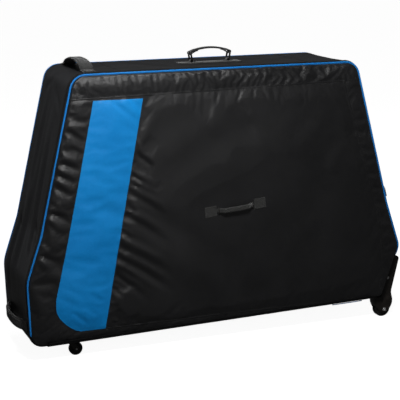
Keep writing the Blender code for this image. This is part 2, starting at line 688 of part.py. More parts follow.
def housing_outline():
    """The housing seen from the side: a fender over the wheel, and a leg up the end panel."""
    edge = side_outline(-GAP)
    foot, bulge = edge["foot_right"][0], edge["bulge_right"][-1]
    heading = (bulge - foot).normalized()
    outward = Vector((heading.y, -heading.x))
    tip = outline_point_at(foot, bulge, HOUSING_TOP_Z)
    low = foot
    centre = Vector((WHEEL_X, WHEEL_RADIUS))
    under = base_z(WHEEL_X - WHEEL_RADIUS * 1.45) - 2 * GAP
    fender_shares = ((1.24, 0.80), (1.30, 0.42), (1.16, -0.02), (0.62, -0.12), (0.40, -0.40), (0.0, -0.56),
                     (-0.40, -0.40), (-0.62, -0.10), (-1.20, 0.40), (-1.52, 0.86), (-1.44, 1.25))
    fender = [centre + WHEEL_RADIUS * Vector(share) for share in fender_shares]
    points = [low, tip, tip + heading * LEG_THICKNESS * 0.10 + outward * LEG_THICKNESS * 0.35,
              tip + outward * LEG_THICKNESS]
    points.append(foot + heading * LEG_THICKNESS * 0.5 + outward * LEG_THICKNESS * 1.45)
    points += fender
    points.append(Vector((WHEEL_X - WHEEL_RADIUS * 1.20, under)))
    foot_x = FOOT_RIGHT_X - FOOT_RIGHT_RADIUS
    points.append(Vector((foot_x, base_z(foot_x) - 2 * GAP)))
    points.append(Vector((low.x + 2 * GAP, base_z(FOOT_RIGHT_X) - 2 * GAP)))
    return [(point.x, point.y) for point in points]


def make_housing(side_name, y):
    half = HOUSING_WIDTH / 2
    blank = plate(side_name + "_wheel_housing", housing_outline(), y - half, y + half, BLACK_PLASTIC)
    housing = as_mesh(blank)
    centre = (WHEEL_X, y, WHEEL_RADIUS)
    lie = (math.pi / 2, 0.0, 0.0)
    well_width = WHEEL_WIDTH + 2 * WHEEL_WELL_CLEARANCE
    well_radius = WHEEL_RADIUS + WHEEL_WELL_CLEARANCE
    well = cylinder(side_name + "_well", well_radius, well_width, centre, lie, BLACK_PLASTIC, segments=32)
    cut(housing, well)
    drop = WHEEL_RADIUS + OVERRUN
    mouth = box(side_name + "_mouth", (2 * well_radius, well_width, drop),
                (WHEEL_X, y, WHEEL_RADIUS - drop / 2), BLACK_PLASTIC)
    cut(housing, mouth)
    bore = cylinder(side_name + "_bore", AXLE_RADIUS + GAP, HOUSING_WIDTH + 2 * OVERRUN, centre, lie,
                    BLACK_PLASTIC, segments=20)
    cut(housing, bore)
    make_housing_screw(side_name, y)


def make_housing_screw(side_name, y):
    """The domed screw head on the outer face of the leg."""
    side = math.copysign(1.0, y)
    foot = side_outline(-GAP)["foot_right"][0]
    bulge = side_outline(-GAP)["bulge_right"][-1]
    low = foot + (bulge - foot) * SCREW_SHARE
    heading = (bulge - foot).normalized()
    spot = low + Vector((heading.y, -heading.x)) * LEG_THICKNESS / 3
    face = y + side * (HOUSING_WIDTH / 2 + GAP + SCREW_HEAD / 2)
    screw = cylinder(side_name + "_housing_screw", SCREW_RADIUS, SCREW_HEAD, (spot.x, face, spot.y),
                     (math.pi / 2, 0.0, 0.0), STEEL, segments=20)
    add_bevel(screw, SCREW_HEAD * 0.4)


# Casters at the left

def make_caster(side_name, side):
    y = side * (HALF_DEPTH - CASTER_INSET)
    plate_top = base_z(CASTER_STEM_X - CASTER_PLATE_LENGTH / 2) - 2 * GAP
    plate_z = plate_top - CASTER_PLATE_THICKNESS / 2
    box(side_name + "_caster_plate", (CASTER_PLATE_LENGTH, CASTER_PLATE_WIDTH, CASTER_PLATE_THICKNESS),
        (CASTER_STEM_X, y, plate_z), BLACK_PLASTIC, bevel=CASTER_PLATE_THICKNESS * 0.3)
    pivot = bpy.data.objects.new(side_name + "_swivel_axis", None)
    PARTS.objects.link(pivot)
    pivot.location = (CASTER_STEM_X, y, 0.0)
    crown_top = plate_top - CASTER_PLATE_THICKNESS - GAP
    make_fork(side_name, crown_top, pivot)
    centre = (CASTER_TRAIL, 0.0, CASTER_RADIUS)
    lie = (math.pi / 2, 0.0, 0.0)
    half = CASTER_WIDTH / 2
    bore = CASTER_AXLE_RADIUS + RUNNING_CLEARANCE
    shoulder = half * 0.5
    round_off = half - shoulder
    wheel = [(CASTER_RADIUS, shoulder), (CASTER_RADIUS, -shoulder), (CASTER_RADIUS - round_off, -half),
             (bore, -half), (bore, half), (CASTER_RADIUS - round_off, half)]
    turned(side_name + "_caster_wheel", wheel, centre, lie, RUBBER, steps=32, parent=pivot)
    length = CASTER_WIDTH + 2 * RUNNING_CLEARANCE + 2 * FORK_CHEEK + 2 * CASTER_AXLE_RADIUS
    cylinder(side_name + "_caster_axle", CASTER_AXLE_RADIUS, length, centre, lie, STEEL, segments=16,
             parent=pivot)


def make_fork(side_name, crown_top, pivot):
    """A round crown with two cheeks that lean back to the wheel's axle."""
    crown_z = crown_top - FORK_CROWN_THICKNESS / 2
    fork = cylinder(side_name + "_caster_fork", FORK_CROWN_RADIUS, FORK_CROWN_THICKNESS, (0.0, 0.0, crown_z),
                    (0.0, 0.0, 0.0), BLACK_PLASTIC, segments=28, parent=pivot)
    join_z = crown_top - FORK_CROWN_THICKNESS * 0.5
    cheek_middle = CASTER_WIDTH / 2 + RUNNING_CLEARANCE + FORK_CHEEK / 2
    for end_name, end in (("front", -1), ("back", 1)):
        middle = end * cheek_middle
        lobe = arc_points((CASTER_TRAIL, CASTER_RADIUS), FORK_CHEEK_RADIUS, -120.0, 50.0, 8)
        outline = [(-FORK_CROWN_RADIUS * 0.55, join_z)] + lobe + [(FORK_CROWN_RADIUS * 0.70, join_z)]
        cheek = plate(side_name + "_cheek_" + end_name, outline, middle - FORK_CHEEK / 2,
                      middle + FORK_CHEEK / 2, BLACK_PLASTIC, parent=pivot)
        bpy.context.view_layer.update()
        cut(fork, as_mesh(cheek), operation="UNION")
    bore = cylinder(side_name + "_fork_bore", CASTER_AXLE_RADIUS + GAP, CASTER_WIDTH + 2 * OVERRUN,
                    (CASTER_TRAIL, 0.0, CASTER_RADIUS), (math.pi / 2, 0.0, 0.0), BLACK_PLASTIC, segments=16,
                    parent=pivot)
    cut(fork, bore)


# Zip

def tape_middle_y():
    return -(gusset_half_width() - TAPE_SETBACK - TAPE_WIDTH / 2)


def make_zip():
    """Tape on the gusset behind the near piping, a slider on the right end's straight, and its pull."""
    outer = side_outline(-GAP - TAPE_THICKNESS / 2)
    stop = outline_point_at(outer["kink_right"][-1], outer["bulge_right"][0], TAPE_END_Z)
    start = outline_point_at(outer["foot_left"][-1], outer["bulge_left"][0], LOW_GRAB_Z + LOW_GRAB_WIDTH)
    run = [start] + outer["bulge_left"] + outer["kink_left"] + outer["top_left"]
    run += outer["top_right"] + outer["kink_right"] + [stop]
    band("zip_tape", upright(run, tape_middle_y()), Vector((0.0, TAPE_WIDTH / 2, 0.0)), TAPE_THICKNESS,
         BLACK_CLOTH)
    low, high = outer["kink_right"][0], outer["top_right"][-1]
    heading = (high - low).normalized()
    outward = Vector((heading.y, -heading.x))
    seat = TAPE_THICKNESS / 2 + GAP
    spot = low + heading * SLIDER_PARK + outward * (seat + SLIDER_HEIGHT / 2)
    lean = math.atan2(heading.x, heading.y)
    slider_axis = bpy.data.objects.new("zip_slider_axis", None)
    PARTS.objects.link(slider_axis)
    slider_axis.location = (spot.x, tape_middle_y(), spot.y)
    slider_axis.rotation_euler = (0.0, lean, 0.0)
    box("zip_slider", (SLIDER_HEIGHT, SLIDER_WIDTH, SLIDER_LENGTH), (0.0, 0.0, 0.0), STEEL,
        bevel=SLIDER_HEIGHT * 0.25, parent=slider_axis)
    pull_x = SLIDER_HEIGHT / 2 + GAP + PULL_THICKNESS / 2
    box("zip_pull", (PULL_THICKNESS, PULL_WIDTH, PULL_LENGTH), (pull_x, 0.0, PULL_PIN - PULL_LENGTH / 2),
        STEEL, bevel=PULL_THICKNESS * 0.3, parent=slider_axis)


# Hardware inside

def make_floor_frame():
    """An empty on the base board's top face, tilted as the base is."""
    tilt = math.atan2(FOOT_RIGHT_Z - FOOT_LEFT_Z, FOOT_RIGHT_X - FOOT_LEFT_X)
    frame = bpy.data.objects.new("floor_frame", None)
    PARTS.objects.link(frame)
    frame.location = (0.0, 0.0, base_z(0.0) + GUSSET_WALL + GAP + BOARD_THICKNESS)
    frame.rotation_euler = (0.0, -tilt, 0.0)
    return frame


def make_interior():
    floor = make_floor_frame()
    left = FOOT_LEFT_X + FOOT_LEFT_RADIUS + BOARD_END_CLEARANCE
    right = FOOT_RIGHT_X - FOOT_RIGHT_RADIUS - BOARD_END_CLEARANCE
    half_width = HALF_DEPTH - PANEL_RIM - GAP / 2 - FOAM_THICKNESS - BOARD_SIDE_CLEARANCE
    box("base_board", (right - left, 2 * half_width, BOARD_THICKNESS),
        ((left + right) / 2, 0.0, -BOARD_THICKNESS / 2), BLACK_PLASTIC, parent=floor)
    box("frame_rail", (RAIL_LENGTH, RAIL_WIDTH, RAIL_HEIGHT), (0.0, 0.0, GAP + RAIL_HEIGHT / 2), ALUMINIUM,
        bevel=RAIL_HEIGHT * 0.12, parent=floor)
    make_dropout_mount("fork", FORK_X, FORK_HEIGHT, FORK_HUB_LENGTH, floor)
    make_dropout_mount("rear", REAR_X, REAR_HEIGHT, REAR_HUB_LENGTH, floor)
    carriage = make_carriage("bracket_carriage", BRACKET_X, floor)
    stand_height = BRACKET_HEIGHT - carriage_top()
    stand = box("bracket_stand", (POST_LENGTH, POST_WIDTH, stand_height + CARRIAGE_WALL / 2),
                (BRACKET_X, 0.0, carriage_top() + (stand_height - CARRIAGE_WALL / 2) / 2), BLACK_PLASTIC,
                parent=floor)
    cut(carriage, stand, operation="UNION")
    box("bracket_pad", (PAD_LENGTH, PAD_WIDTH, PAD_THICKNESS),
        (BRACKET_X, 0.0, BRACKET_HEIGHT + GAP + PAD_THICKNESS / 2), RUBBER, bevel=PAD_THICKNESS * 0.15,
        parent=floor)


def carriage_top():
    return 2 * GAP + RAIL_HEIGHT + GAP + CARRIAGE_WALL


def make_carriage(name, x, floor):
    """A saddle over the rail, open below, with a running gap to the rail and the board."""
    width = RAIL_WIDTH + 2 * (GAP + CARRIAGE_WALL)
    bottom = 2 * GAP
    height = carriage_top() - bottom
    carriage = box(name, (CARRIAGE_LENGTH, width, height), (x, 0.0, bottom + height / 2), BLACK_PLASTIC,
                   parent=floor)
    slot_height = RAIL_HEIGHT + 2 * GAP
    slot = box(name + "_slot", (CARRIAGE_LENGTH + 2 * OVERRUN, RAIL_WIDTH + 2 * GAP, slot_height + OVERRUN),
               (x, 0.0, slot_height - (slot_height + OVERRUN) / 2), BLACK_PLASTIC, parent=floor)
    cut(carriage, slot)
    return carriage


def make_dropout_mount(name, x, height, hub_length, floor):
    """A carriage with a post, a dummy hub across it for the dropouts, and a quick-release lever."""
    carriage = make_carriage(name + "_carriage", x, floor)
    post_bottom = carriage_top() - CARRIAGE_WALL / 2
    post_top = height + DUMMY_HUB_RADIUS * 1.5
    post = box(name + "_post", (POST_LENGTH, POST_WIDTH, post_top - post_bottom),
               (x, 0.0, (post_bottom + post_top) / 2), BLACK_PLASTIC, parent=floor)
    cut(carriage, post, operation="UNION")
    lie = (math.pi / 2, 0.0, 0.0)
    seat = cylinder(name + "_hub_seat", DUMMY_HUB_RADIUS + GAP, POST_WIDTH + 2 * OVERRUN, (x, 0.0, height),
                    lie, BLACK_PLASTIC, parent=floor)
    cut(carriage, seat)
    half = hub_length / 2
    end = half + DROPOUT_SEAT
    profile = [(DROPOUT_RADIUS, end), (DROPOUT_RADIUS, half), (DUMMY_HUB_RADIUS, half),
               (DUMMY_HUB_RADIUS, -half), (DROPOUT_RADIUS, -half), (DROPOUT_RADIUS, -end)]
    stepped_pin(name + "_dummy_hub", profile, (x, 0.0, height), ALUMINIUM, parent=floor)
    pivot = bpy.data.objects.new(name + "_lever_axis", None)
    PARTS.objects.link(pivot)
    pivot.parent = floor
    pivot.location = (x, -end - GAP - LEVER_SEAT, height)
    box(name + "_lever", (LEVER_WIDTH, LEVER_THICKNESS, LEVER_LENGTH),
        (0.0, LEVER_SEAT - LEVER_THICKNESS / 2, LEVER_LENGTH / 2 - LEVER_HEEL), ALUMINIUM,
        bevel=LEVER_THICKNESS * 0.3, parent=pivot)


def make_near_lid():
    """The near side panel with all that is sewn to it, on an empty at its lower hem."""
    rim = 2 * PIPING_RADIUS + GAP
    tilt = math.atan2(FOOT_RIGHT_Z - FOOT_LEFT_Z, FOOT_RIGHT_X - FOOT_LEFT_X)
    hem = bpy.data.objects.new("near_hem_axis", None)
    PARTS.objects.link(hem)
    hem.location = (0.0, -(HALF_DEPTH - PANEL_RIM), base_z(0.0) + rim / math.cos(tilt))
    hem.rotation_euler = (0.0, -tilt, 0.0)
    bpy.context.view_layer.update()
    crowned_panel("near_side_panel", -1.0, BLACK_CLOTH, hem)
    make_piping("near_piping", -1.0, hem)
    make_side_layers("near", -1.0, hem)
    make_stripe(hem)
    make_side_handle("near", -1.0, hem)


def make_far_side():
    crowned_panel("far_side_panel", 1.0, BLACK_CLOTH)
    make_piping("far_piping", 1.0)
    make_side_layers("far", 1.0, None)
    make_side_handle("far", 1.0, None)


clear_scene()
PARTS = new_collection("bike_travel_bag")
CUTTERS = new_collection("cutters")
make_gusset()
make_near_lid()
make_far_side()
make_top_handle()
make_grab_straps()
for near_or_far, sign in (("near", -1.0), ("far", 1.0)):
    make_fixed_wheel(near_or_far, sign)
    make_caster(near_or_far, sign)
make_zip()
make_interior()
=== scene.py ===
import json
import math

import bmesh
import bpy
import numpy as np
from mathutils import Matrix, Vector, noise
from mathutils.bvhtree import BVHTree

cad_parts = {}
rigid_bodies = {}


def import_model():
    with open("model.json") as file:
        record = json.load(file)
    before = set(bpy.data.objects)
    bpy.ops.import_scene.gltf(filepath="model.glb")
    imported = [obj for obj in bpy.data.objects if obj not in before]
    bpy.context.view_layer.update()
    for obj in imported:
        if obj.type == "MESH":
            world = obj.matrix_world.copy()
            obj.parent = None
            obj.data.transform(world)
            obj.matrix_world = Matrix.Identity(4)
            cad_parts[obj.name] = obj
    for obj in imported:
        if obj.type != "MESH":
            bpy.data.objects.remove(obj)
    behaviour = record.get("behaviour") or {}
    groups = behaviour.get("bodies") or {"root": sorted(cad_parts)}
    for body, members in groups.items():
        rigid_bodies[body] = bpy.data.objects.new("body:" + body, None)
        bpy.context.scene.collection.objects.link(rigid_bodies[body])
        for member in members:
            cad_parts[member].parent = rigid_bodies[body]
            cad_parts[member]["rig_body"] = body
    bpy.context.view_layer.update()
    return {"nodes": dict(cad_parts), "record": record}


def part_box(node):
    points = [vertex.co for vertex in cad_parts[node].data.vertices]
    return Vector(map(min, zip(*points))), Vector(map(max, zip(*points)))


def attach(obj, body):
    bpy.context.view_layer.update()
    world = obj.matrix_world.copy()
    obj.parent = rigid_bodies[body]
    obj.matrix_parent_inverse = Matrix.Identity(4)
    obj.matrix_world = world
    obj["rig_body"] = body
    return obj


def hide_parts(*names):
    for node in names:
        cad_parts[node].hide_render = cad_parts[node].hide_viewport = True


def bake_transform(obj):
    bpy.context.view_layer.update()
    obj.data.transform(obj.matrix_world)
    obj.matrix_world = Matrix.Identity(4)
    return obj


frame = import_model()
bpy.ops.object.select_all(action="DESELECT")
print("frame loaded with", len(frame["nodes"]), "nodes")


# Shader maths

class Socket:  # a shader socket, whose sums and products add their Math nodes
    def __init__(self, paint, source):
        self.paint = paint
        self.source = source

    def __add__(self, other):
        return self.paint.add("ShaderNodeMath", {"operation": "ADD"}, {0: self, 1: other})

    def __mul__(self, other):
        return self.paint.add("ShaderNodeMath", {"operation": "MULTIPLY"}, {0: self, 1: other})


class Paint:  # one material: its Principled shader and the nodes that feed it
    def __init__(self, name, fixed):
        self.material = bpy.data.materials.new(name)
        self.material.use_nodes = True
        self.tree = self.material.node_tree
        self.shader = self.tree.nodes["Principled BSDF"]
        for socketName, value in fixed.items():
            self.shader.inputs[socketName].default_value = value

    def add(self, kind, settings=None, values=None, out=0):
        made = self.tree.nodes.new(kind)
        for name, value in (settings or {}).items():
            if name == "stops":
                self.setStops(made.color_ramp, value)
            else:
                setattr(made, name, value)
        for name, value in (values or {}).items():
            self.feed(made.inputs[name], value)
        return Socket(self, made.outputs[out])

    def setStops(self, ramp, stops):
        while len(ramp.elements) > len(stops):
            ramp.elements.remove(ramp.elements[-1])
        while len(ramp.elements) < len(stops):
            ramp.elements.new(1.0)
        for element, (place, grey) in zip(ramp.elements, stops):
            element.position = place
            element.color = (grey, grey, grey, 1.0)

    def feed(self, target, value):
        if isinstance(value, Socket):
            self.tree.links.new(value.source, target)
        else:
            target.default_value = value

    def objectPlace(self):
        return self.add("ShaderNodeTexCoord", out=3)

    def clothPlace(self):
        return self.add("ShaderNodeUVMap", {"uv_map": "clothMap"})

    def noise(self, place, scale, detail=3.0, rough=0.55):
        values = {"Vector": place, "Scale": scale, "Detail": detail, "Roughness": rough}
        return self.add("ShaderNodeTexNoise", None, values)

    def ramp(self, share, *stops):
        return self.add("ShaderNodeValToRGB", {"stops": stops}, {0: share})

    def sine(self, angle):
        return self.add("ShaderNodeMath", {"operation": "SINE"}, {0: angle})

    def mix(self, share, first, second):
        values = {0: share, 6: (*first, 1.0), 7: (*second, 1.0)}
        return self.add("ShaderNodeMix", {"data_type": "RGBA"}, values, out=2)

    def stretched(self, place, size):
        return self.add("ShaderNodeMapping", None, {"Vector": place, "Scale": size})

    def axes(self, place):
        # the two flat axes of a place
        parts = self.tree.nodes.new("ShaderNodeSeparateXYZ")
        self.feed(parts.inputs[0], place)
        return Socket(self, parts.outputs[0]), Socket(self, parts.outputs[1])

    def weave(self, place, pitch):
        # over and under of threads that cross, as a height about zero
        across, along = self.axes(place)
        turns = 2.0 * math.pi / pitch
        return self.sine(across * turns) * self.sine(along * turns)

    def bump(self, height, distance, strength):
        values = {"Height": height, "Distance": distance, "Strength": strength}
        return self.add("ShaderNodeBump", None, values)

    def finish(self, colour=None, roughness=None, normal=None):
        for socketName, value in (("Base Color", colour), ("Roughness", roughness), ("Normal", normal)):
            if value is not None:
                self.feed(self.shader.inputs[socketName], value)
        return self.material


# Materials

def clothPaint(name, look):
    # woven cloth: threads, a slow drift of tone, and dust-dull patches
    paint = Paint(name, {"Specular IOR Level": look["specular"], "Sheen Weight": look["sheen"],
                         "Sheen Roughness": 0.45, "Sheen Tint": (*look["sheenTint"], 1.0)})
    place = paint.clothPlace()
    solid = paint.objectPlace()
    drift = paint.noise(solid, 5.0, 4.0, 0.6)
    speck = paint.noise(solid, 160.0, 2.0)
    threads = paint.weave(place, look["pitch"])
    tone = paint.ramp(drift * 0.75 + speck * 0.25, (0.32, 0.0), (0.72, 1.0))
    colour = paint.mix(tone, look["dark"], look["light"])
    roughness = paint.ramp(paint.noise(solid, 9.0, 3.0), (0.3, look["rough"][0]), (0.7, look["rough"][1]))
    height = threads * 0.5 + paint.noise(solid, 420.0, 2.0) * 0.6
    return paint.finish(colour, roughness, paint.bump(height, look["relief"], 0.6))


def webbingPaint(name, look):
    # ribbed tape: coarse ribs across it, fine threads along it
    paint = Paint(name, {"Specular IOR Level": 0.3, "Sheen Weight": 0.25, "Sheen Roughness": 0.5})
    place = paint.clothPlace()
    solid = paint.objectPlace()
    ribs = paint.sine(paint.axes(place)[0] * (2.0 * math.pi / look["rib"]))
    fine = paint.weave(place, look["thread"])
    speck = paint.noise(solid, 300.0, 3.0)
    tone = paint.ramp(speck * 0.5 + ribs * 0.12 + 0.25, (0.2, 0.0), (0.75, 1.0))
    colour = paint.mix(tone, look["dark"], look["light"])
    height = ribs * 0.6 + fine * 0.4 + speck * 0.4
    return paint.finish(colour, look["rough"], paint.bump(height, look["relief"], 0.8))


def mouldedPaint(name, look):
    # moulded plastic or rubber: fine grain, scuffed lighter where it wears
    paint = Paint(name, {"Specular IOR Level": look["specular"]})
    solid = paint.objectPlace()
    grain = paint.noise(solid, 900.0, 2.0)
    scuff = paint.ramp(paint.noise(solid, 42.0, 5.0, 0.65), (0.52, 0.0), (0.74, 1.0))
    colour = paint.mix(scuff * 0.8, look["dark"], look["light"])
    roughness = paint.ramp(paint.noise(solid, 60.0, 3.0), (0.3, look["rough"][0]), (0.7, look["rough"][1]))
    height = grain + paint.noise(solid, 90.0, 3.0) * 0.4
    return paint.finish(colour, roughness, paint.bump(height, look["relief"], 0.5))


def metalPaint(name, look):
    # drawn or brushed metal: streaks along one way, a few dull spots
    paint = Paint(name, {"Metallic": look["metallic"]})
    solid = paint.objectPlace()
    streaks = paint.noise(paint.stretched(solid, look["grain"]), 60.0, 3.0)
    spots = paint.noise(solid, 150.0, 4.0)
    colour = paint.mix(paint.ramp(spots, (0.4, 0.0), (0.7, 1.0)), look["dark"], look["light"])
    roughness = paint.ramp(streaks, (0.25, look["rough"][0]), (0.75, look["rough"][1]))
    return paint.finish(colour, roughness, paint.bump(streaks, look["relief"], 0.4))


def foamPaint(name, look):
    # closed-cell foam under a thin scrim: rounded cells and a soft tone
    paint = Paint(name, {"Specular IOR Level": 0.2, "Sheen Weight": 0.2})
    solid = paint.objectPlace()
    cells = paint.add("ShaderNodeTexVoronoi", None, {"Vector": solid, "Scale": 420.0})
    drift = paint.noise(solid, 7.0, 4.0)
    tone = paint.ramp(drift * 0.6 + cells * 0.5, (0.2, 0.0), (0.8, 1.0))
    colour = paint.mix(tone, look["dark"], look["light"])
    return paint.finish(colour, 0.88, paint.bump(cells, 0.0004, 0.7))


def netPaint(name, look):
    # knitted net: threads round small holes, so the cloth behind darkens it
    paint = Paint(name, {"Specular IOR Level": 0.25, "Sheen Weight": 0.3})
    mesh = {"Vector": paint.clothPlace(), "Scale": 330.0}
    holes = paint.add("ShaderNodeTexVoronoi", {"feature": "DISTANCE_TO_EDGE"}, mesh)
    thread = paint.ramp(holes, (0.08, 1.0), (0.22, 0.0))
    colour = paint.mix(thread, look["dark"], look["light"])
    return paint.finish(colour, 0.8, paint.bump(thread, 0.0006, 0.8))


blackLook = {"dark": (0.0055, 0.0055, 0.0060), "light": (0.0115, 0.0115, 0.0122), "pitch": 0.0011,
             "rough": (0.36, 0.46), "specular": 0.5, "sheen": 0.04, "sheenTint": (0.9, 0.93, 1.0),
             "relief": 0.0002}
baseLook = dict(blackLook, dark=(0.0032, 0.0032, 0.0035), light=(0.0068, 0.0068, 0.0072), rough=(0.5, 0.62),
                specular=0.3, sheen=0.02)
blueLook = dict(blackLook, dark=(0.0010, 0.185, 0.520), light=(0.0040, 0.245, 0.640), rough=(0.40, 0.50),
                specular=0.3, sheen=0.02)
pipingLook = dict(blueLook, dark=(0.0040, 0.160, 0.520), light=(0.0140, 0.230, 0.650), pitch=0.0016,
                  relief=0.0003)
zipLook = dict(blackLook, dark=(0.0110, 0.0110, 0.0115), light=(0.0210, 0.0210, 0.0215), pitch=0.0014)
webbingLook = {"dark": (0.0070, 0.0070, 0.0070), "light": (0.0260, 0.0265, 0.0245), "rib": 0.0021,
               "thread": 0.0011, "rough": 0.62, "relief": 0.0004}
strapLook = dict(webbingLook, dark=(0.0028, 0.0028, 0.0030), light=(0.0085, 0.0085, 0.0088))
plasticLook = {"dark": (0.0125, 0.0108, 0.0096), "light": (0.0320, 0.0275, 0.0240), "rough": (0.26, 0.40),
               "specular": 0.45, "relief": 0.0001}
ringLook = dict(plasticLook, dark=(0.0040, 0.0038, 0.0036), light=(0.0105, 0.0098, 0.0090))
greyLook = dict(plasticLook, dark=(0.030, 0.030, 0.031), light=(0.075, 0.075, 0.075))
rubberLook = {"dark": (0.0060, 0.0060, 0.0060), "light": (0.0300, 0.0290, 0.0270), "rough": (0.6, 0.82),
              "specular": 0.3, "relief": 0.0002}
steelLook = {"dark": (0.45, 0.45, 0.46), "light": (0.72, 0.72, 0.72), "grain": (1.0, 8.0, 1.0),
             "rough": (0.22, 0.36), "relief": 0.00005, "metallic": 0.45}
aluminiumLook = {"dark": (0.60, 0.60, 0.61), "light": (0.78, 0.78, 0.78), "grain": (0.15, 6.0, 6.0),
                 "rough": (0.28, 0.42), "relief": 0.00004, "metallic": 0.8}
foamLook = {"dark": (0.055, 0.055, 0.058), "light": (0.105, 0.105, 0.108)}
netLook = {"dark": (0.004, 0.004, 0.0045), "light": (0.030, 0.030, 0.032)}
threadLook = dict(blackLook, dark=(0.018, 0.018, 0.018), light=(0.036, 0.036, 0.036), pitch=0.0006)

paints = {
    "black": clothPaint("blackNylon", blackLook),
    "base": clothPaint("coatedBaseCloth", baseLook),
    "blue": clothPaint("blueCloth", blueLook),
    "piping": clothPaint("bluePiping", pipingLook),
    "zip": clothPaint("zipCloth", zipLook),
    "thread": clothPaint("sewingThread", threadLook),
    "webbing": webbingPaint("greyWebbing", webbingLook),
    "strap": webbingPaint("blackWebbing", strapLook),
    "plastic": mouldedPaint("blackPlastic", plasticLook),
    "ring": mouldedPaint("ringPlastic", ringLook),
    "grey": mouldedPaint("greyPlastic", greyLook),
    "rubber": mouldedPaint("wheelRubber", rubberLook),
    "steel": metalPaint("zincSteel", steelLook),
    "aluminium": metalPaint("anodisedAluminium", aluminiumLook),
    "foam": foamPaint("foamBoard", foamLook),
    "net": netPaint("pocketNet", netLook),
}
print("materials ready")


# The bag's side outline, the same as the frame's

side = {
    "corners": (("footLeft", -0.604, 0.050, 0.040), ("bulgeLeft", -0.6115, 0.250, 0.120),
                ("kinkLeft", -0.566, 0.385, 0.150), ("topLeft", -0.461, 0.847, 0.050),
                ("topRight", 0.448, 0.849, 0.050), ("kinkRight", 0.572, 0.392, 0.150),
                ("bulgeRight", 0.6225, 0.245, 0.050), ("footRight", 0.5645, 0.0763, 0.012)),
    "halfDepth": 0.145, "rim": 0.0043, "band": 0.038, "gap": 0.0003, "piping": 0.0022, "hemHeight": 0.098,
    "arcStep": 0.06, "leastRadius": 0.003, "gridLength": 1.2, "gridHeight": 0.78,
}


def outlineArcs(inset):
    # each corner's rounded points, with the outline drawn in by an inset
    corners = side["corners"]
    count = len(corners)
    spots = [Vector((x, z)) for name, x, z, radius in corners]
    headings = [(spots[(i + 1) % count] - spots[i]).normalized() for i in range(count)]
    arcs = {}
    for i, (name, x, z, radius) in enumerate(corners):
        before, after = headings[i - 1], headings[i]
        inBefore, inAfter = Vector((before.y, -before.x)), Vector((after.y, -after.x))
        corner = spots[i] + (inBefore + inAfter) * inset / (1.0 + inBefore.dot(inAfter))
        turn = math.atan2(before.x * after.y - before.y * after.x, before.dot(after))
        inward = 1.0 if turn < 0.0 else -1.0
        rounded = max(radius - inward * inset, side["leastRadius"])
        start = corner - before * (rounded * math.tan(abs(turn) / 2))
        centre = start + inBefore * inward * rounded
        spoke = start - centre
        steps = max(3, math.ceil(abs(turn) / side["arcStep"]))
        arcs[name] = []
        for k in range(steps + 1):
            angle = turn * k / steps
            across = spoke.x * math.cos(angle) - spoke.y * math.sin(angle)
            upward = spoke.x * math.sin(angle) + spoke.y * math.cos(angle)
            arcs[name].append(centre + Vector((across, upward)))
    return arcs


def outlineLoop(inset):
    points = [point for arc in outlineArcs(inset).values() for point in arc]
    return np.array([(point.x, point.y) for point in points])


def lengthsAlong(line):
    # the length of a line up to each of its points
    return np.concatenate([[0.0], np.cumsum(np.linalg.norm(np.diff(line, axis=0), axis=1))])


def pointsAt(line, lengths, stops):
    return np.stack([np.interp(stops, lengths, column) for column in line.T], axis=1)


def spacedPath(points, spacing):
    # the same open line with evenly spaced points
    points = np.asarray(points, float)
    lengths = lengthsAlong(points)
    count = max(2, int(round(lengths[-1] / spacing)) + 1)
    return pointsAt(points, lengths, np.linspace(0.0, lengths[-1], count))


def unitRows(rows):
    return rows / np.linalg.norm(rows, axis=1)[:, None]


def outwardOf(path):
    # the flat normal at each point of a line that runs clockwise, so away from the bag
    headings = unitRows(np.gradient(path, axis=0))
    return np.stack([-headings[:, 1], headings[:, 0]], axis=1)


def inSpace(flat, depth):
    # flat places (x, z) at a depth, as places in space
    return np.stack([flat[:, 0], np.broadcast_to(depth, len(flat)), flat[:, 1]], axis=1)


def pointAtHeight(first, second, height):
    return first + (second - first) * ((height - first.y) / (second.y - first.y))


def distanceToLine(places, line, closed=False):
    # least distance from each place to a broken line, both flat
    best = np.full(len(places), 1e9)
    ends = np.roll(line, -1, axis=0) if closed else line[1:]
    starts = line if closed else line[:-1]
    for start, end in zip(starts, ends):
        along = end - start
        share = np.clip((places - start) @ along / max(along @ along, 1e-12), 0.0, 1.0)
        best = np.minimum(best, np.linalg.norm(places - start - share[:, None] * along, axis=1))
    return best


def smooth(share):
    share = np.clip(share, 0.0, 1.0)
    return share * share * (3.0 - 2.0 * share)


def swell(places, scale, seed):
    # smooth noise from -1 to 1 at flat places
    shift = Vector((seed * 7.31, seed * 3.17, seed * 1.73))
    return np.array([noise.noise(Vector((x * scale, z * scale, 0.0)) + shift) for x, z in places])


def swells(places, waves, seed):
    # slow and fast noise together, each wave with a scale and a height
    return sum(swell(places, scale, seed + k) * height for k, (scale, height) in enumerate(waves))


def foldField(places, folds):
    # height of many folds at flat places, each a line that is strongest near its start
    total = np.zeros(len(places))
    for x0, z0, x1, z1, width, height in np.array(folds) / 1000.0:
        start = np.array((x0, z0))
        along = np.array((x1 - x0, z1 - z0))
        length = np.linalg.norm(along)
        along = along / length
        across = np.array((-along[1], along[0]))
        share = (places - start) @ along / length
        bow = 0.025 * length * np.sin(np.clip(share, 0.0, 1.0) * math.pi)
        off = ((places - start) @ across - bow) / width
        fade = smooth((share + 0.18) / 0.30) * smooth((1.12 - share) / 0.60)
        total += height * fade * (np.exp(-off ** 2) - 0.55 * np.exp(-(off - 1.7) ** 2))
    return total


# Making meshes

weldDistance = 0.000005
down = (0.0, 0.0, -1.0)
def onlySelect(thing):
    bpy.ops.object.select_all(action="DESELECT")
    thing.select_set(True)
    bpy.context.view_layer.objects.active = thing


def newest(name):
    # what was just added, under its own name
    added = bpy.context.active_object
    added.name = name
    return added


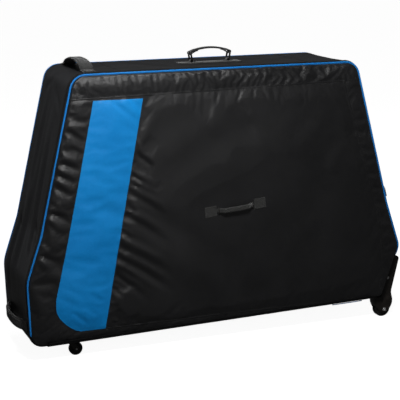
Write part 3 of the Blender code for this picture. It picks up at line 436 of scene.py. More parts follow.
def gridPiece(name, columns, rows):
    # a flat grid, and each vertex's column and row share
    bpy.ops.mesh.primitive_grid_add(x_subdivisions=columns, y_subdivisions=rows, size=1.0)
    piece = newest(name)
    spots = meshPlaces(piece)
    return piece, spots[:, 0] + 0.5, spots[:, 1] + 0.5


def meshPlaces(piece):
    places = np.zeros(len(piece.data.vertices) * 3)
    piece.data.vertices.foreach_get("co", places)
    return places.reshape(-1, 3)


def setPlaces(piece, places):
    piece.data.vertices.foreach_set("co", np.ascontiguousarray(places, dtype=np.float32).ravel())
    piece.data.update()


def writeClothMap(piece, across, along):
    # a UV map in metres of cloth, from two numbers for each vertex
    layer = piece.data.uv_layers.get("clothMap") or piece.data.uv_layers.new(name="clothMap")
    corner = np.zeros(len(piece.data.loops), dtype=np.int64)
    piece.data.loops.foreach_get("vertex_index", corner)
    pairs = np.stack([np.asarray(across)[corner], np.asarray(along)[corner]], axis=1)
    layer.data.foreach_set("uv", np.ascontiguousarray(pairs, dtype=np.float32).ravel())


def applyModifier(piece, kind, settings):
    onlySelect(piece)
    step = piece.modifiers.new(kind.lower(), kind)
    for name, value in settings.items():
        setattr(step, name, value)
    bpy.ops.object.modifier_apply(modifier=step.name)


def editAll(piece):
    # edit mode, with the whole of one piece selected
    onlySelect(piece)
    bpy.ops.object.mode_set(mode="EDIT")
    bpy.ops.mesh.select_all(action="SELECT")


def closeEdit():
    bpy.ops.object.mode_set(mode="OBJECT")


def faceOutwards(piece):
    editAll(piece)
    bpy.ops.mesh.normals_make_consistent(inside=False)
    closeEdit()


def faceTowards(piece, direction):
    # turns an open skin so that its faces look along a direction
    piece.data.update()
    total = sum((face.normal * face.area for face in piece.data.polygons), Vector())
    if total.dot(Vector(direction)) < 0.0:
        editAll(piece)
        bpy.ops.mesh.flip_normals()
        closeEdit()


def thicken(piece, thickness):
    # gives an open skin its wall; its faces already point outwards
    applyModifier(piece, "SOLIDIFY", {"thickness": thickness, "offset": -1.0, "use_even_offset": False})


def settle(piece, body, paint, replaced=(), smoothAngle=40.0):
    # the last step of every piece: shading, material, what it replaces, and the body it rides, if it is
    # given one by name
    onlySelect(piece)
    bpy.ops.object.transform_apply(location=True, rotation=True, scale=True)
    bpy.ops.object.shade_smooth_by_angle(angle=math.radians(smoothAngle))
    piece.data.materials.clear()
    piece.data.materials.append(paints[paint])
    if isinstance(body, str):
        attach(piece, body)
    else:
        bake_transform(piece)
    if replaced:
        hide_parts(*replaced)
    return piece


def sweepPiece(name, path, section, sideways, sizes=None, closed=False):
    # a closed section carried along a line: sideways is the section's first axis, and sizes
    # is its scale at each point
    path = np.asarray(path, float)
    section = np.asarray(section, float)
    count, around = len(path), len(section)
    if closed:
        headings = unitRows(np.roll(path, -1, axis=0) - np.roll(path, 1, axis=0))
    else:
        headings = unitRows(np.gradient(path, axis=0))
    first = np.broadcast_to(np.asarray(sideways, float), path.shape)
    first = unitRows(first - np.sum(first * headings, axis=1)[:, None] * headings)
    second = np.cross(headings, first)
    scale = np.ones((count, 2)) if sizes is None else sizes
    columns = count if closed else count - 1
    piece, a, b = gridPiece(name, columns, around)
    station = np.rint(a * columns).astype(int)
    corner = np.rint(b * around).astype(int)
    k, j = station % count, corner % around
    places = (path[k] + first[k] * (section[j, 0] * scale[k, 0])[:, None]
              + second[k] * (section[j, 1] * scale[k, 1])[:, None])
    setPlaces(piece, places)
    lengths, girth = [lengthsAlong(np.vstack([line, line[:1]])) for line in (path, section)]
    writeClothMap(piece, lengths[station], girth[corner])
    editAll(piece)
    bpy.ops.mesh.remove_doubles(threshold=weldDistance)
    if not closed:
        bpy.ops.mesh.select_all(action="DESELECT")
        bpy.ops.mesh.select_mode(type="EDGE")
        bpy.ops.mesh.select_non_manifold(extend=False, use_wire=False, use_multi_face=False,
                                         use_non_contiguous=False, use_verts=False)
        bpy.ops.mesh.fill_holes(sides=0)
    closeEdit()
    faceOutwards(piece)
    return piece


def roundSection(radius, count):
    angles = np.linspace(0.0, 2.0 * math.pi, count, endpoint=False)
    return np.stack([radius * np.cos(angles), radius * np.sin(angles)], axis=1)


def tapeSection(width, thickness, across):
    # a flat tape with rounded selvedges, wide along its first axis
    half, low = width / 2 - thickness / 2, thickness / 2
    top = [(x, low) for x in np.linspace(half, -half, across)]
    bottom = [(x, -low) for x in np.linspace(-half, half, across)]
    left = [(-half - low * math.sin(t), low * math.cos(t)) for t in (math.pi / 3, 2 * math.pi / 3)]
    right = [(half + low * math.sin(t), -low * math.cos(t)) for t in (math.pi / 3, 2 * math.pi / 3)]
    return top + left + bottom + right


def joinPieces(name, pieces):
    bpy.ops.object.select_all(action="DESELECT")
    for piece in pieces:
        piece.select_set(True)
    bpy.context.view_layer.objects.active = pieces[0]
    bpy.ops.object.join()
    pieces[0].name = name
    return pieces[0]


# Side panels: padded cloth that swells between its seams

panel = {
    "spacing": 0.0054, "wall": 0.0018, "startDepth": 0.1424, "crownDepth": 0.1548, "slump": 0.0012,
    "waves": ((3.1, 0.0022), (8.0, 0.0009)),
    "topSeam": ((-0.4720, 0.7760), (-0.2540, 0.7790), (0.4010, 0.7905), (0.4630, 0.7915)),
    "lowSeam": ((-0.4660, 0.0925), (-0.3700, 0.0895), (0.1000, 0.0870), (0.5150, 0.0815)),
    "endSeam": ((0.4010, 0.7910), (0.4080, 0.7520), (0.4360, 0.6730), (0.4620, 0.5850), (0.4900, 0.4960),
                (0.5170, 0.4170), (0.5310, 0.3760), (0.5480, 0.2900), (0.5560, 0.1960), (0.5500, 0.0820)),
    "footSeam": ((-0.5080, 0.1120), (-0.5280, 0.0660)),
}
stripe = {
    "left": ((-0.4560, 0.0905), (-0.4700, 0.0955), (-0.4840, 0.1040), (-0.4970, 0.1140), (-0.5090, 0.1262),
             (-0.5180, 0.1380), (-0.5248, 0.1510), (-0.5280, 0.1680), (-0.5270, 0.1950), (-0.4940, 0.3350),
             (-0.4480, 0.5530), (-0.4040, 0.7710)),
    "right": ((-0.3790, 0.0900), (-0.2540, 0.7700)), "spacing": 0.006, "lift": 0.0004, "wall": 0.0008,
}
# folds in millimetres, as (from x, from z, to x, to z, width, height); a negative height is a valley
nearFolds = [
    (-481, 726, -452, 733, 6, -1.6), (-485, 689, -439, 652, 9, -3.4), (-475, 640, -440, 617, 7, -2.2),
    (-505, 596, -452, 574, 8, -3.6), (-515, 562, -462, 537, 9, -3.8), (-527, 533, -478, 497, 11, -3.4),
    (-540, 485, -514, 459, 7, -3), (-547, 453, -491, 434, 9, -4.2), (-553, 430, -522, 401, 8, -2.6),
    (-571, 346, -547, 350, 5, -3), (-577, 332, -527, 309, 8, -2.8), (-583, 315, -561, 274, 10, -2.4),
    (-491, 704, -432, 697, 10, 1.6), (-499, 621, -449, 594, 9, 2.4), (-508, 578, -456, 557, 8, 2.2),
    (-524, 545, -471, 520, 8, 2), (-544, 435, -492, 395, 13, 4), (-573, 359, -544, 341, 6, 2.4),
    (-580, 315, -514, 242, 18, 3), (-274, 603, -225, 568, 9, -1.6), (-293, 545, -225, 500, 9, -2.4),
    (-293, 521, -215, 475, 8, -2.6), (-303, 495, -190, 417, 11, -3.2), (-307, 453, -275, 433, 6, -2),
    (-316, 430, -180, 328, 13, -3.4), (-326, 380, -295, 360, 6, -1.6), (-330, 332, -181, 240, 13, -3.6),
    (-336, 302, -172, 186, 12, -3.6), (-344, 247, -249, 167, 10, -2.4), (-353, 212, -325, 178, 7, -1.6),
    (-296, 533, -235, 495, 7, 1.4), (-313, 445, -210, 383, 10, 2), (-337, 283, -202, 183, 10, 2),
    (-323, 355, -217, 290, 10, 1.8), (-117, 837, -92, 806, 6, -1.6), (-61, 829, -35, 786, 8, -2),
    (38, 839, 57, 821, 5, -1.8), (54, 841, 83, 820, 5, -2), (80, 843, 106, 822, 5, -2.2),
    (103, 845, 132, 821, 5, -2.4), (125, 844, 160, 820, 5, -2.4), (145, 844, 190, 812, 6, -2.8),
    (167, 846, 215, 805, 6, -3.2), (189, 845, 240, 798, 7, -3.4), (225, 836, 268, 801, 7, -3),
    (252, 828, 300, 788, 8, -3), (286, 830, 330, 800, 7, -1.6), (389, 806, 395, 780, 5, -1.8),
    (406, 808, 413, 786, 5, -1.8), (53, 776, 36, 744, 6, -1.6), (94, 778, 91, 748, 5, -1.4),
    (121, 780, 144, 742, 6, -1.4), (-17, 772, -34, 746, 6, -1.2), (478, 661, 441, 672, 8, -1.8),
    (475, 620, 439, 638, 8, -3), (505, 561, 465, 583, 8, -2.4), (526, 540, 485, 534, 7, -2.2),
    (531, 488, 489, 498, 8, -2.6), (556, 435, 509, 451, 8, -2.4), (568, 385, 525, 405, 9, -2.2),
    (581, 328, 534, 358, 10, -2), (-203, 586, 84, 732, 45, 3.4), (-172, 463, 252, 646, 60, 4.2),
    (-237, 316, 23, 163, 45, 2.6), (-236, 423, -77, 316, 30, -2.2), (26, 725, 112, 615, 22, -2.2),
    (85, 682, 213, 547, 26, -2), (253, 584, 353, 702, 30, 1.8), (358, 514, 408, 605, 24, 2),
    (-108, 708, 30, 529, 28, -2.4), (100, 250, 380, 160, 60, 2.4), (-345, 764, -300, 722, 9, -2.4),
    (-310, 766, -268, 712, 11, 3.2), (-480, 150, -430, 108, 8, -2.2), (-452, 158, -404, 112, 9, 2.4),
    (-425, 205, -385, 160, 10, -2), (-500, 215, -455, 170, 10, 1.8),
]
farFolds = [
    (-470, 700, -380, 620, 14, -3), (-520, 540, -400, 470, 14, -3.4), (-575, 340, -430, 300, 13, -3.2),
    (-560, 180, -400, 240, 18, -2.6), (470, 720, 380, 640, 12, -2.8), (530, 520, 400, 500, 14, -3.4),
    (585, 330, 440, 290, 14, -3), (300, 830, 240, 760, 9, -2.4), (120, 835, 80, 770, 8, -2.2),
    (-150, 835, -120, 765, 8, -2.2), (-300, 300, 0, 620, 60, 4), (0, 200, 330, 560, 60, 3.6),
    (-200, 130, 50, 260, 40, -2.6), (150, 700, 330, 520, 30, -2.6),
]


def edgeLines(inset):
    # the flat base and top edges of a side outline as functions of x
    arcs = outlineArcs(inset)

    def lineThrough(first, second):
        slope = (second.y - first.y) / (second.x - first.x)
        return lambda x: first.y + (x - first.x) * slope
    return (lineThrough(arcs["footLeft"][0], arcs["footRight"][-1]),
            lineThrough(arcs["topLeft"][-1], arcs["topRight"][0]))


def panelGrid(name, inset, spacing, mirrored):
    # a grid spread over the side outline, with rows bunched where the corners turn
    piece, a, b = gridPiece(name, int(side["gridLength"] / spacing), int(side["gridHeight"] / spacing))
    if mirrored:
        a = 1.0 - a
    baseLine, topLine = edgeLines(inset)
    arcs = outlineArcs(inset)
    share = smoothRows(b)
    ends = []
    for word, step in (("Left", 1), ("Right", -1)):
        edge = [p for name in ("foot", "bulge", "kink", "top") for p in arcs[name + word][::step]]
        shares = [(p.y - baseLine(p.x)) / (topLine(p.x) - baseLine(p.x)) for p in edge]
        ends.append(np.interp(share, shares, [p.x for p in edge]))
    x = ends[0] + (ends[1] - ends[0]) * a
    low, high = baseLine(x), topLine(x)
    return piece, np.stack([x, low + (high - low) * share], axis=1)


def smoothRows(b):
    # even rows in the middle, finer ones by the base and top edges
    eased = 0.5 - 0.5 * np.cos(math.pi * b)
    return 0.45 * eased + 0.55 * b


def panelDepth(places, folds, seed):
    # how far each place stands out from the bag's middle plane
    rimLine = outlineLoop(side["rim"] + side["gap"])
    fromRim = distanceToLine(places, rimLine, closed=True)
    share = np.clip(fromRim / side["band"], 0.0, 1.0)
    rise = (panel["crownDepth"] - panel["startDepth"]) * np.sqrt(1.0 - (1.0 - share) ** 2)
    inner = smooth(fromRim / 0.016)
    drift = swells(places, panel["waves"], seed) - panel["slump"]
    tucks = swell(places * np.array((1.0, 0.35)), 75.0, seed + 2) * 0.0007 * np.exp(-fromRim / 0.018)
    bend = foldField(places, folds) + drift + tucks
    for seam in ("topSeam", "lowSeam"):
        line = np.array(panel[seam])
        fromSeam = distanceToLine(places, line)
        pucker = swell(places * np.array((1.0, 0.3)), 60.0, seed + 3) * 0.0006
        bend += pucker * np.exp(-fromSeam / 0.014) - 0.0010 * np.exp(-(fromSeam / 0.007) ** 2)
    depth = panel["startDepth"] + rise + bend * inner
    return np.minimum(depth, panel["crownDepth"] + 0.0016)


def heightOn(line, x):
    line = np.asarray(line)
    return np.interp(x, line[:, 0], line[:, 1])


def placeOn(line, z):
    line = np.asarray(line)
    return np.interp(z, line[:, 1], line[:, 0])


def insideStripe(x, z):
    return (x > placeOn(stripe["left"], z)) & (x < placeOn(stripe["right"], z)) & (z > 0.09) & (z < 0.772)


def makePanel(name, sign, folds, seed):
    piece, places = panelGrid(name, side["rim"] + side["gap"], panel["spacing"], sign > 0)
    depth = panelDepth(places, folds, seed)
    setPlaces(piece, inSpace(places, sign * depth))
    writeClothMap(piece, places[:, 0], places[:, 1])
    faceOutwards(piece)
    wrinkle(piece, sewnDown(places, sign), slackOf(places, sign))
    return piece


cloth = {
    "frames": 18, "grow": 0.056, "pressure": 1.4, "most": 0.0065, "tension": 30.0, "bending": 0.06,
    "mass": 0.25, "damping": 4.0, "slack": 0.70, "strip": 0.34, "busy": 0.48, "band": 0.20, "calm": 0.07,
    "stripe": 0.07,
}


def wrinkle(piece, still, spare):
    # lets the cloth grow between the seams that hold it, so that it puckers and sags by itself
    before = meshPlaces(piece)
    onlySelect(piece)
    held = piece.vertex_groups.new(name="held")
    firm = piece.vertex_groups.new(name="firm")
    for i in range(len(before)):
        held.add([i], float(still[i]), "REPLACE")
        firm.add([i], 1.0 - float(spare[i]), "REPLACE")
    step = piece.modifiers.new("drape", "CLOTH")
    ways = step.settings
    ways.quality = 4
    ways.mass = cloth["mass"]
    ways.tension_stiffness = ways.compression_stiffness = cloth["tension"]
    ways.shear_stiffness = cloth["tension"] * 0.4
    ways.bending_stiffness = cloth["bending"]
    ways.tension_damping = ways.compression_damping = cloth["damping"]
    ways.vertex_group_mass = "held"
    ways.vertex_group_shrink = "firm"
    ways.shrink_min = -cloth["grow"]
    ways.shrink_max = 0.0
    ways.effector_weights.gravity = 0.0
    ways.use_pressure = True
    ways.uniform_pressure_force = cloth["pressure"]
    step.point_cache.frame_start = 1
    step.point_cache.frame_end = cloth["frames"]
    for number in range(1, cloth["frames"] + 1):
        bpy.context.scene.frame_set(number)
    onlySelect(piece)
    bpy.ops.object.modifier_apply(modifier=step.name)
    bpy.context.scene.frame_set(1)
    piece.vertex_groups.clear()
    moved = meshPlaces(piece) - before
    far = np.linalg.norm(moved, axis=1)
    share = np.minimum(1.0, cloth["most"] / np.maximum(far, 1e-9))
    setPlaces(piece, before + moved * share[:, None])


def sewnDown(places, sign):
    # one where the panel is held by a seam or by its rim, and zero elsewhere
    lines = [np.array(panel[seam]) for seam in ("topSeam", "lowSeam", "endSeam")]
    if sign < 0:
        lines += [np.array(stripe[edge]) for edge in ("left", "right")]
    still = distanceToLine(places, outlineLoop(side["rim"] + side["gap"]), closed=True) < 0.002
    for line in lines:
        still |= distanceToLine(places, line) < panel["spacing"] * 0.55
    return still.astype(float)


def slackOf(places, sign):
    # how much cloth each part of the panel has to spare: much at the ends and by the blue
    # panel, little elsewhere
    x, z = places[:, 0], places[:, 1]
    seamPlace = placeOn(panel["endSeam"][::-1], z)
    slack = np.full(len(places), cloth["calm"])
    fromStripe = distanceToLine(places, np.array(stripe["right"]))
    byStripe = (1.0 - smooth(fromStripe / 0.15)) * (1.0 - smooth((z - 0.60) / 0.10)) * (sign < 0)
    slack += (cloth["slack"] - cloth["calm"]) * byStripe
    busy = smooth((x + 0.16) / 0.10) * (1.0 - smooth((x - 0.30) / 0.08))
    above = z > heightOn(panel["topSeam"], x)
    below = z < heightOn(panel["lowSeam"], x)
    plain = cloth["band"] * (1.0 - 0.6 * smooth((x - 0.32) / 0.08))
    slack = np.where(above, plain + (cloth["busy"] - plain) * busy, slack)
    slack = np.where((x > seamPlace) & ~above, cloth["band"] * 1.4, slack)
    slack = np.where(below & (x < seamPlace), cloth["band"], slack)
    if sign < 0:
        ofStrip = cloth["band"] + (cloth["strip"] - cloth["band"]) * smooth((z - 0.26) / 0.12)
        slack = np.where((x < placeOn(stripe["left"], z)) & ~above & ~below, ofStrip, slack)
        slack = np.where(insideStripe(x, z), cloth["stripe"], slack)
    return slack


def surfaceOf(piece):
    bpy.context.view_layer.update()
    work = bmesh.new()
    work.from_mesh(piece.data)
    tree = BVHTree.FromBMesh(work)
    work.free()
    return tree


def depthOn(tree, places, sign):
    # depth of the panel's skin at flat places, from outside
    found = []
    for x, z in places:
        hit = tree.ray_cast(Vector((x, sign * 0.3, z)), Vector((0.0, -sign, 0.0)))[0]
        found.append(sign * hit.y if hit else side["halfDepth"])
    return np.array(found)


def dressCloth(piece, wall, body, paint, nodes):
    # gives a skin its wall and look, hides the solids it replaces, and returns the bare skin for what is
    # laid on it
    skin = surfaceOf(piece)
    thicken(piece, wall)
    settle(piece, body, paint, nodes)
    return skin


nearPanel = makePanel("nearPanel", -1.0, nearFolds, 3)
nearSkin = dressCloth(nearPanel, panel["wall"], "near_lid", "black", ["near_side_panel"])
farPanel = makePanel("farPanel", 1.0, farFolds, 11)
farSkin = dressCloth(farPanel, panel["wall"], "bag", "black", ["far_side_panel"])
print("side panels made")


def makeStripe():
    # the blue panel, laid on the near panel's skin and sewn round its edge
    left, right = np.array(stripe["left"]), np.array(stripe["right"])
    height = right[1, 1] - right[0, 1]
    piece, a, b = gridPiece("blueStripe", 26, int(height / stripe["spacing"]))
    low = left[0, 1] + (right[0, 1] - left[0, 1]) * a
    high = left[-1, 1] + (right[1, 1] - left[-1, 1]) * a
    z = low + (high - low) * smoothRows(b)
    xLeft, xRight = placeOn(left, z), placeOn(right, z)
    places = np.stack([xLeft + (xRight - xLeft) * a, z], axis=1)
    depth = depthOn(nearSkin, places, -1.0) + stripe["lift"] + stripe["wall"]
    fromEdge = np.minimum(np.minimum(a, 1.0 - a), np.minimum(b, 1.0 - b) * 4.0)
    depth += 0.0005 * smooth(fromEdge / 0.1) + 0.0004 * swell(places, 22.0, 5) * smooth(fromEdge / 0.15)
    setPlaces(piece, inSpace(places, -depth))
    writeClothMap(piece, places[:, 0], z)
    thicken(piece, stripe["wall"] + stripe["lift"])
    settle(piece, "near_lid", "blue", ["near_stripe"])


makeStripe()
print("blue stripe made")


# Gusset: one lofted shell round both ends and the top, and the base skin under it

gusset = {
    "spacing": 0.0082, "columns": 34, "halfWidth": 0.1403, "wall": 0.0032, "edge": 0.010, "sag": 0.0022,
    "baseSag": 0.0008, "tape": (-0.1400, -0.1215), "topSeams": (-0.30, 0.30), "seamEdge": 0.1385,
    "seamStart": -0.1235, "hemRow": 0.0055, "waves": ((4.0, 0.0016), (13.0, 0.0006)),
}
# things that lie on the gusset, on both sides of the middle, as (low x, high x, low z, high z,
# low depth, high depth)
resting = (
    (-0.0875, 0.1175, 0.80, 0.90, -0.0225, 0.0225), (-0.4300, -0.3740, 0.80, 0.90, 0.088, 0.125),
    (-0.640, -0.580, 0.085, 0.135, 0.088, 0.126), (0.535, 0.640, 0.00, 0.215, 0.083, 0.127),
    (-0.515, -0.435, 0.00, 0.070, 0.070, 0.122),
)
# creases in millimetres, as (from length, from depth, to length, to depth, width, height), the
# length counted from the left hem upwards
gussetFolds = [
    (250, -70, 620, -52, 12, -3.4), (150, 12, 500, 22, 16, -3.6), (420, 52, 720, 36, 12, -2.8),
    (80, 88, 360, 82, 14, -3), (300, -30, 660, -18, 15, 3), (120, 55, 440, 62, 16, 2.8),
    (270, -110, 310, -60, 6, -2.6), (290, -100, 330, -45, 6, -2.2), (220, -90, 270, -40, 7, -1.8),
    (310, 110, 270, 50, 7, -2.4), (660, -90, 730, 20, 12, -2), (700, 95, 740, 20, 10, -1.8),
    (800, -60, 940, 70, 20, -2.2), (980, 90, 1100, -80, 18, -1.8), (1400, -80, 1550, 60, 22, -2.2),
    (1340, 85, 1480, 20, 16, 1.8), (1720, 60, 1980, 50, 14, -3), (1780, -50, 2050, -60, 14, -3),
    (1860, 0, 2120, 10, 18, 3), (2100, -90, 2160, 20, 10, -2.6), (2130, 90, 2180, 0, 10, -2.4),
    (2200, 40, 2340, 50, 14, -2.6),
]


def bagRun(names, fromLeft):
    # the outline from one hem to the other, past the named corners
    arcs = outlineArcs(0.0)
    left = pointAtHeight(arcs["footLeft"][-1], arcs["bulgeLeft"][0], side["hemHeight"])
    right = pointAtHeight(arcs["bulgeRight"][-1], arcs["footRight"][0], side["hemHeight"])
    start, end = (left, right) if fromLeft else (right, left)
    return [(p.x, p.y) for p in [start] + [point for name in names for point in arcs[name]] + [end]]


def calmNear(x, z, depth):
    # zero where something lies on the cloth, one a little way off
    calm = np.ones(len(x))
    for xLow, xHigh, zLow, zHigh, yLow, yHigh in resting:
        across = depth if yLow < 0.0 else np.abs(depth)
        off = np.maximum.reduce([xLow - x, x - xHigh, zLow - z, z - zHigh, yLow - across, across - yHigh])
        calm = np.minimum(calm, smooth(off / 0.018))
    return calm


def loftBand(name, run, folds, sag, seed):
    # a band of cloth carried along the outline, sagging between its edges
    path = spacedPath(run, gusset["spacing"])
    piece, a, b = gridPiece(name, len(path) - 1, gusset["columns"])
    station = np.rint(a * (len(path) - 1)).astype(int)
    share = 2.0 * b - 1.0
    depth = gusset["halfWidth"] * np.sin(share * math.pi / 2.0) * 0.35 + gusset["halfWidth"] * share * 0.65
    lengths = lengthsAlong(path)
    along = lengths[station]
    flat = np.stack([along, depth], axis=1)
    fromEdge = gusset["halfWidth"] - np.abs(depth)
    inner = smooth((fromEdge - 0.004) / 0.022)
    ends = smooth(np.minimum(along, lengths[-1] - along) / 0.02)
    tapeLow, tapeHigh = gusset["tape"]
    offTape = smooth((depth - tapeHigh) / 0.010) if folds else inner
    offTape = np.where(depth < tapeLow, 0.0, offTape)
    drift = swells(flat, gusset["waves"], seed)
    hollow = -sag * (1.0 - (depth / gusset["halfWidth"]) ** 2)
    rise = (foldField(flat, folds) + drift) * ends + hollow
    rise = rise * inner * offTape * calmNear(path[station, 0], path[station, 1], depth)
    edge = -0.0016 * (1.0 - smooth(fromEdge / gusset["edge"])) ** 2
    places = path[station] + outwardOf(path)[station] * (rise + edge)[:, None]
    setPlaces(piece, inSpace(places, depth))
    writeClothMap(piece, along, depth)
    return piece


overTop = bagRun(["bulgeLeft", "kinkLeft", "topLeft", "topRight", "kinkRight", "bulgeRight"], True)
underneath = bagRun(["footRight", "footLeft"], False)
bagGusset = loftBand("bagGusset", overTop, gussetFolds, gusset["sag"], 21)
gussetNodes = ["left_end_panel", "top_panel", "right_end_panel"]
gussetSkin = dressCloth(bagGusset, gusset["wall"], "bag", "black", gussetNodes)
baseSkin = loftBand("baseSkin", underneath, [], gusset["baseSag"], 31)
dressCloth(baseSkin, gusset["wall"], "bag", "base", ["base_panel"])
print("gusset and base made")


# Piping, zip and seams

trim = {
    "cordSpacing": 0.0045, "cordWobble": 0.00028, "cordDepth": 0.1428, "cordEnd": 0.214, "cordSink": 0.0006,
    "tapeMiddle": -0.1309, "tapeWidth": 0.0140, "tapeThick": 0.0010, "tapeEnds": (0.146, 0.300),
    "toothPitch": 0.0024, "toothSize": (0.0013, 0.0042, 0.0011), "toothRise": 0.0011, "toothShift": 0.0008,
    "weltWidth": 0.0042, "weltThick": 0.0011, "weltLift": 0.0002,
    "stitchPitch": 0.0044, "stitchSize": (0.0031, 0.00060, 0.00055), "stitchLift": 0.0001,
    "rowOffset": 0.0045, "lineSpacing": 0.006, "rowSpacing": 0.02, "dropFrom": 0.35, "panelDepth": 0.17,
    "topHeight": 0.90, "endPlace": 0.70, "hemLift": 0.003,
}


def sideRun(inset, startHeight, endHeight):
    # up the left end, over the top and down the right end, along the outline
    arcs = outlineArcs(inset)
    start = arcs["footLeft"][-1]
    if startHeight:
        start = pointAtHeight(start, arcs["bulgeLeft"][0], startHeight)
    names = ["bulgeLeft", "kinkLeft", "topLeft", "topRight", "kinkRight"]
    if endHeight > arcs["bulgeRight"][0].y:
        last = [pointAtHeight(arcs["kinkRight"][-1], arcs["bulgeRight"][0], endHeight)]
    else:
        names += ["bulgeRight"]
        last = [pointAtHeight(arcs["bulgeRight"][-1], arcs["footRight"][0], endHeight)]
    return [(p.x, p.y) for p in [start] + [q for name in names for q in arcs[name]] + last]


def makePiping(name, sign, body, node):
    path = spacedPath(sideRun(side["piping"], None, trim["cordEnd"]), trim["cordSpacing"])
    count = len(path)
    steps = np.stack([np.arange(count) * 0.11, np.full(count, 1.7 * sign)], axis=1)
    inPlane = swell(steps, 1.0, 41) * trim["cordWobble"]
    inDepth = swell(steps, 1.3, 43) * trim["cordWobble"]
    outward = outwardOf(path)
    flat = path + outward * (inPlane - 0.3 * trim["cordWobble"])[:, None]
    fromEnd = np.minimum(np.arange(count), count - 1 - np.arange(count))
    flat -= outward * (trim["cordSink"] * np.exp(-fromEnd / 2.0))[:, None]
    line = inSpace(flat, sign * trim["cordDepth"] + inDepth)
    radius = side["piping"]
    section = [(radius * math.cos(t), radius * math.sin(t)) for t in np.linspace(-0.9, math.pi + 0.9, 11)]
    section += [(-0.0005, -0.0042), (0.0005, -0.0042)]
    sizes = np.ones((count, 2)) * (1.0 - 0.35 * np.exp(-fromEnd / 1.2))[:, None]
    piece = sweepPiece(name, line, section, (0.0, 1.0, 0.0), sizes)
    settle(piece, body, "piping", [node], smoothAngle=60.0)


def copyAlong(name, unit, places, tangents, normals):
    # copies a small shape to each place, its length along the tangent and its top along the
    # normal, and removes the shape itself
    spots = meshPlaces(unit)
    tangents = unitRows(tangents)
    normals = unitRows(normals - np.sum(normals * tangents, axis=1)[:, None] * tangents)
    frames = np.stack([tangents, np.cross(normals, tangents), normals], axis=1)
    everywhere = (np.einsum("vk,pkc->pvc", spots, frames) + places[:, None, :]).reshape(-1, 3)
    shifts = np.arange(len(places))[:, None, None] * len(spots)
    corners = []
    for sides in (4, 3):
        faces = [tuple(face.vertices) for face in unit.data.polygons if len(face.vertices) == sides]
        if faces:
            corners += (np.array(faces)[None, :, :] + shifts).reshape(-1, sides).tolist()
    mesh = bpy.data.meshes.new(name)
    mesh.from_pydata(everywhere.tolist(), [], corners)
    mesh.update()
    piece = bpy.data.objects.new(name, mesh)
    bpy.context.scene.collection.objects.link(piece)
    writeClothMap(piece, everywhere[:, 0] + everywhere[:, 1], everywhere[:, 2])
    faceOutwards(piece)
    removePiece(unit)
    return piece


def stitchUnit():
    # one stitch, a short thread that sinks into the cloth at both ends
    lie = (0.0, math.pi / 2, 0.0)
    bpy.ops.mesh.primitive_uv_sphere_add(segments=6, ring_count=4, radius=0.5, rotation=lie)
    unit = bpy.context.active_object
    bpy.ops.object.transform_apply(location=False, rotation=True, scale=False)
    editAll(unit)
    bpy.ops.transform.resize(value=trim["stitchSize"])
    closeEdit()
    return unit


def toothUnit():
    # one tooth of the zip, a small block with chamfered edges
    bpy.ops.mesh.primitive_cube_add(size=1.0)
    unit = bpy.context.active_object
    editAll(unit)
    bpy.ops.transform.resize(value=trim["toothSize"])
    bpy.ops.mesh.bevel(offset=0.00028, segments=1, affect="EDGES")
    closeEdit()
    return unit


def removePiece(piece):
    bpy.data.objects.remove(piece, do_unlink=True)


def stitches(name, lines, body):
    # rows of stitches, each line given as its places in space and the cloth's normals there
    places, tangents, normals = [], [], []
    for line, lineNormals in lines:
        lengths = lengthsAlong(line)
        count = max(2, int(lengths[-1] / trim["stitchPitch"]))
        stops = (np.arange(count) + 0.5) * lengths[-1] / count
        spots, ups = pointsAt(line, lengths, stops), pointsAt(lineNormals, lengths, stops)
        places.append(spots + ups * trim["stitchLift"])
        tangents.append(np.gradient(spots, axis=0))
        normals.append(ups)
    piece = copyAlong(name, stitchUnit(), np.vstack(places), np.vstack(tangents), np.vstack(normals))
    settle(piece, body, "thread", smoothAngle=80.0)


def layOn(tree, flat, direction):
    # drops points onto a skin along a direction, and gives the places and the skin's normals,
    # less what misses
    direction = Vector(direction)
    places, normals = [], []
    for point in flat:
        hit, normal = tree.ray_cast(Vector(point) - direction * trim["dropFrom"], direction)[:2]
        if hit is None:
            continue
        if normal.dot(direction) > 0.0:
            normal = -normal
        places.append(hit)
        normals.append(normal)
    return np.array(places), np.array(normals)


def panelLine(points, sign, tree):
    flat = spacedPath(points, trim["lineSpacing"])
    return layOn(tree, inSpace(flat, sign * trim["panelDepth"]), (0.0, -sign, 0.0))


def shifted(points, amount):
    # the same flat line moved sideways
    return points + outwardOf(points) * amount


def welt(name, line, normals, body, paint="black"):
    # a folded seam, standing a little proud of the cloth
    section = tapeSection(trim["weltWidth"], trim["weltThick"], 4)
    sideways = np.cross(normals, np.gradient(line, axis=0))
    piece = sweepPiece(name, line + normals * trim["weltLift"], section, sideways)
    settle(piece, body, paint, smoothAngle=50.0)


makePiping("nearPipingCord", -1.0, "near_lid", "near_piping")
makePiping("farPipingCord", 1.0, "bag", "far_piping")


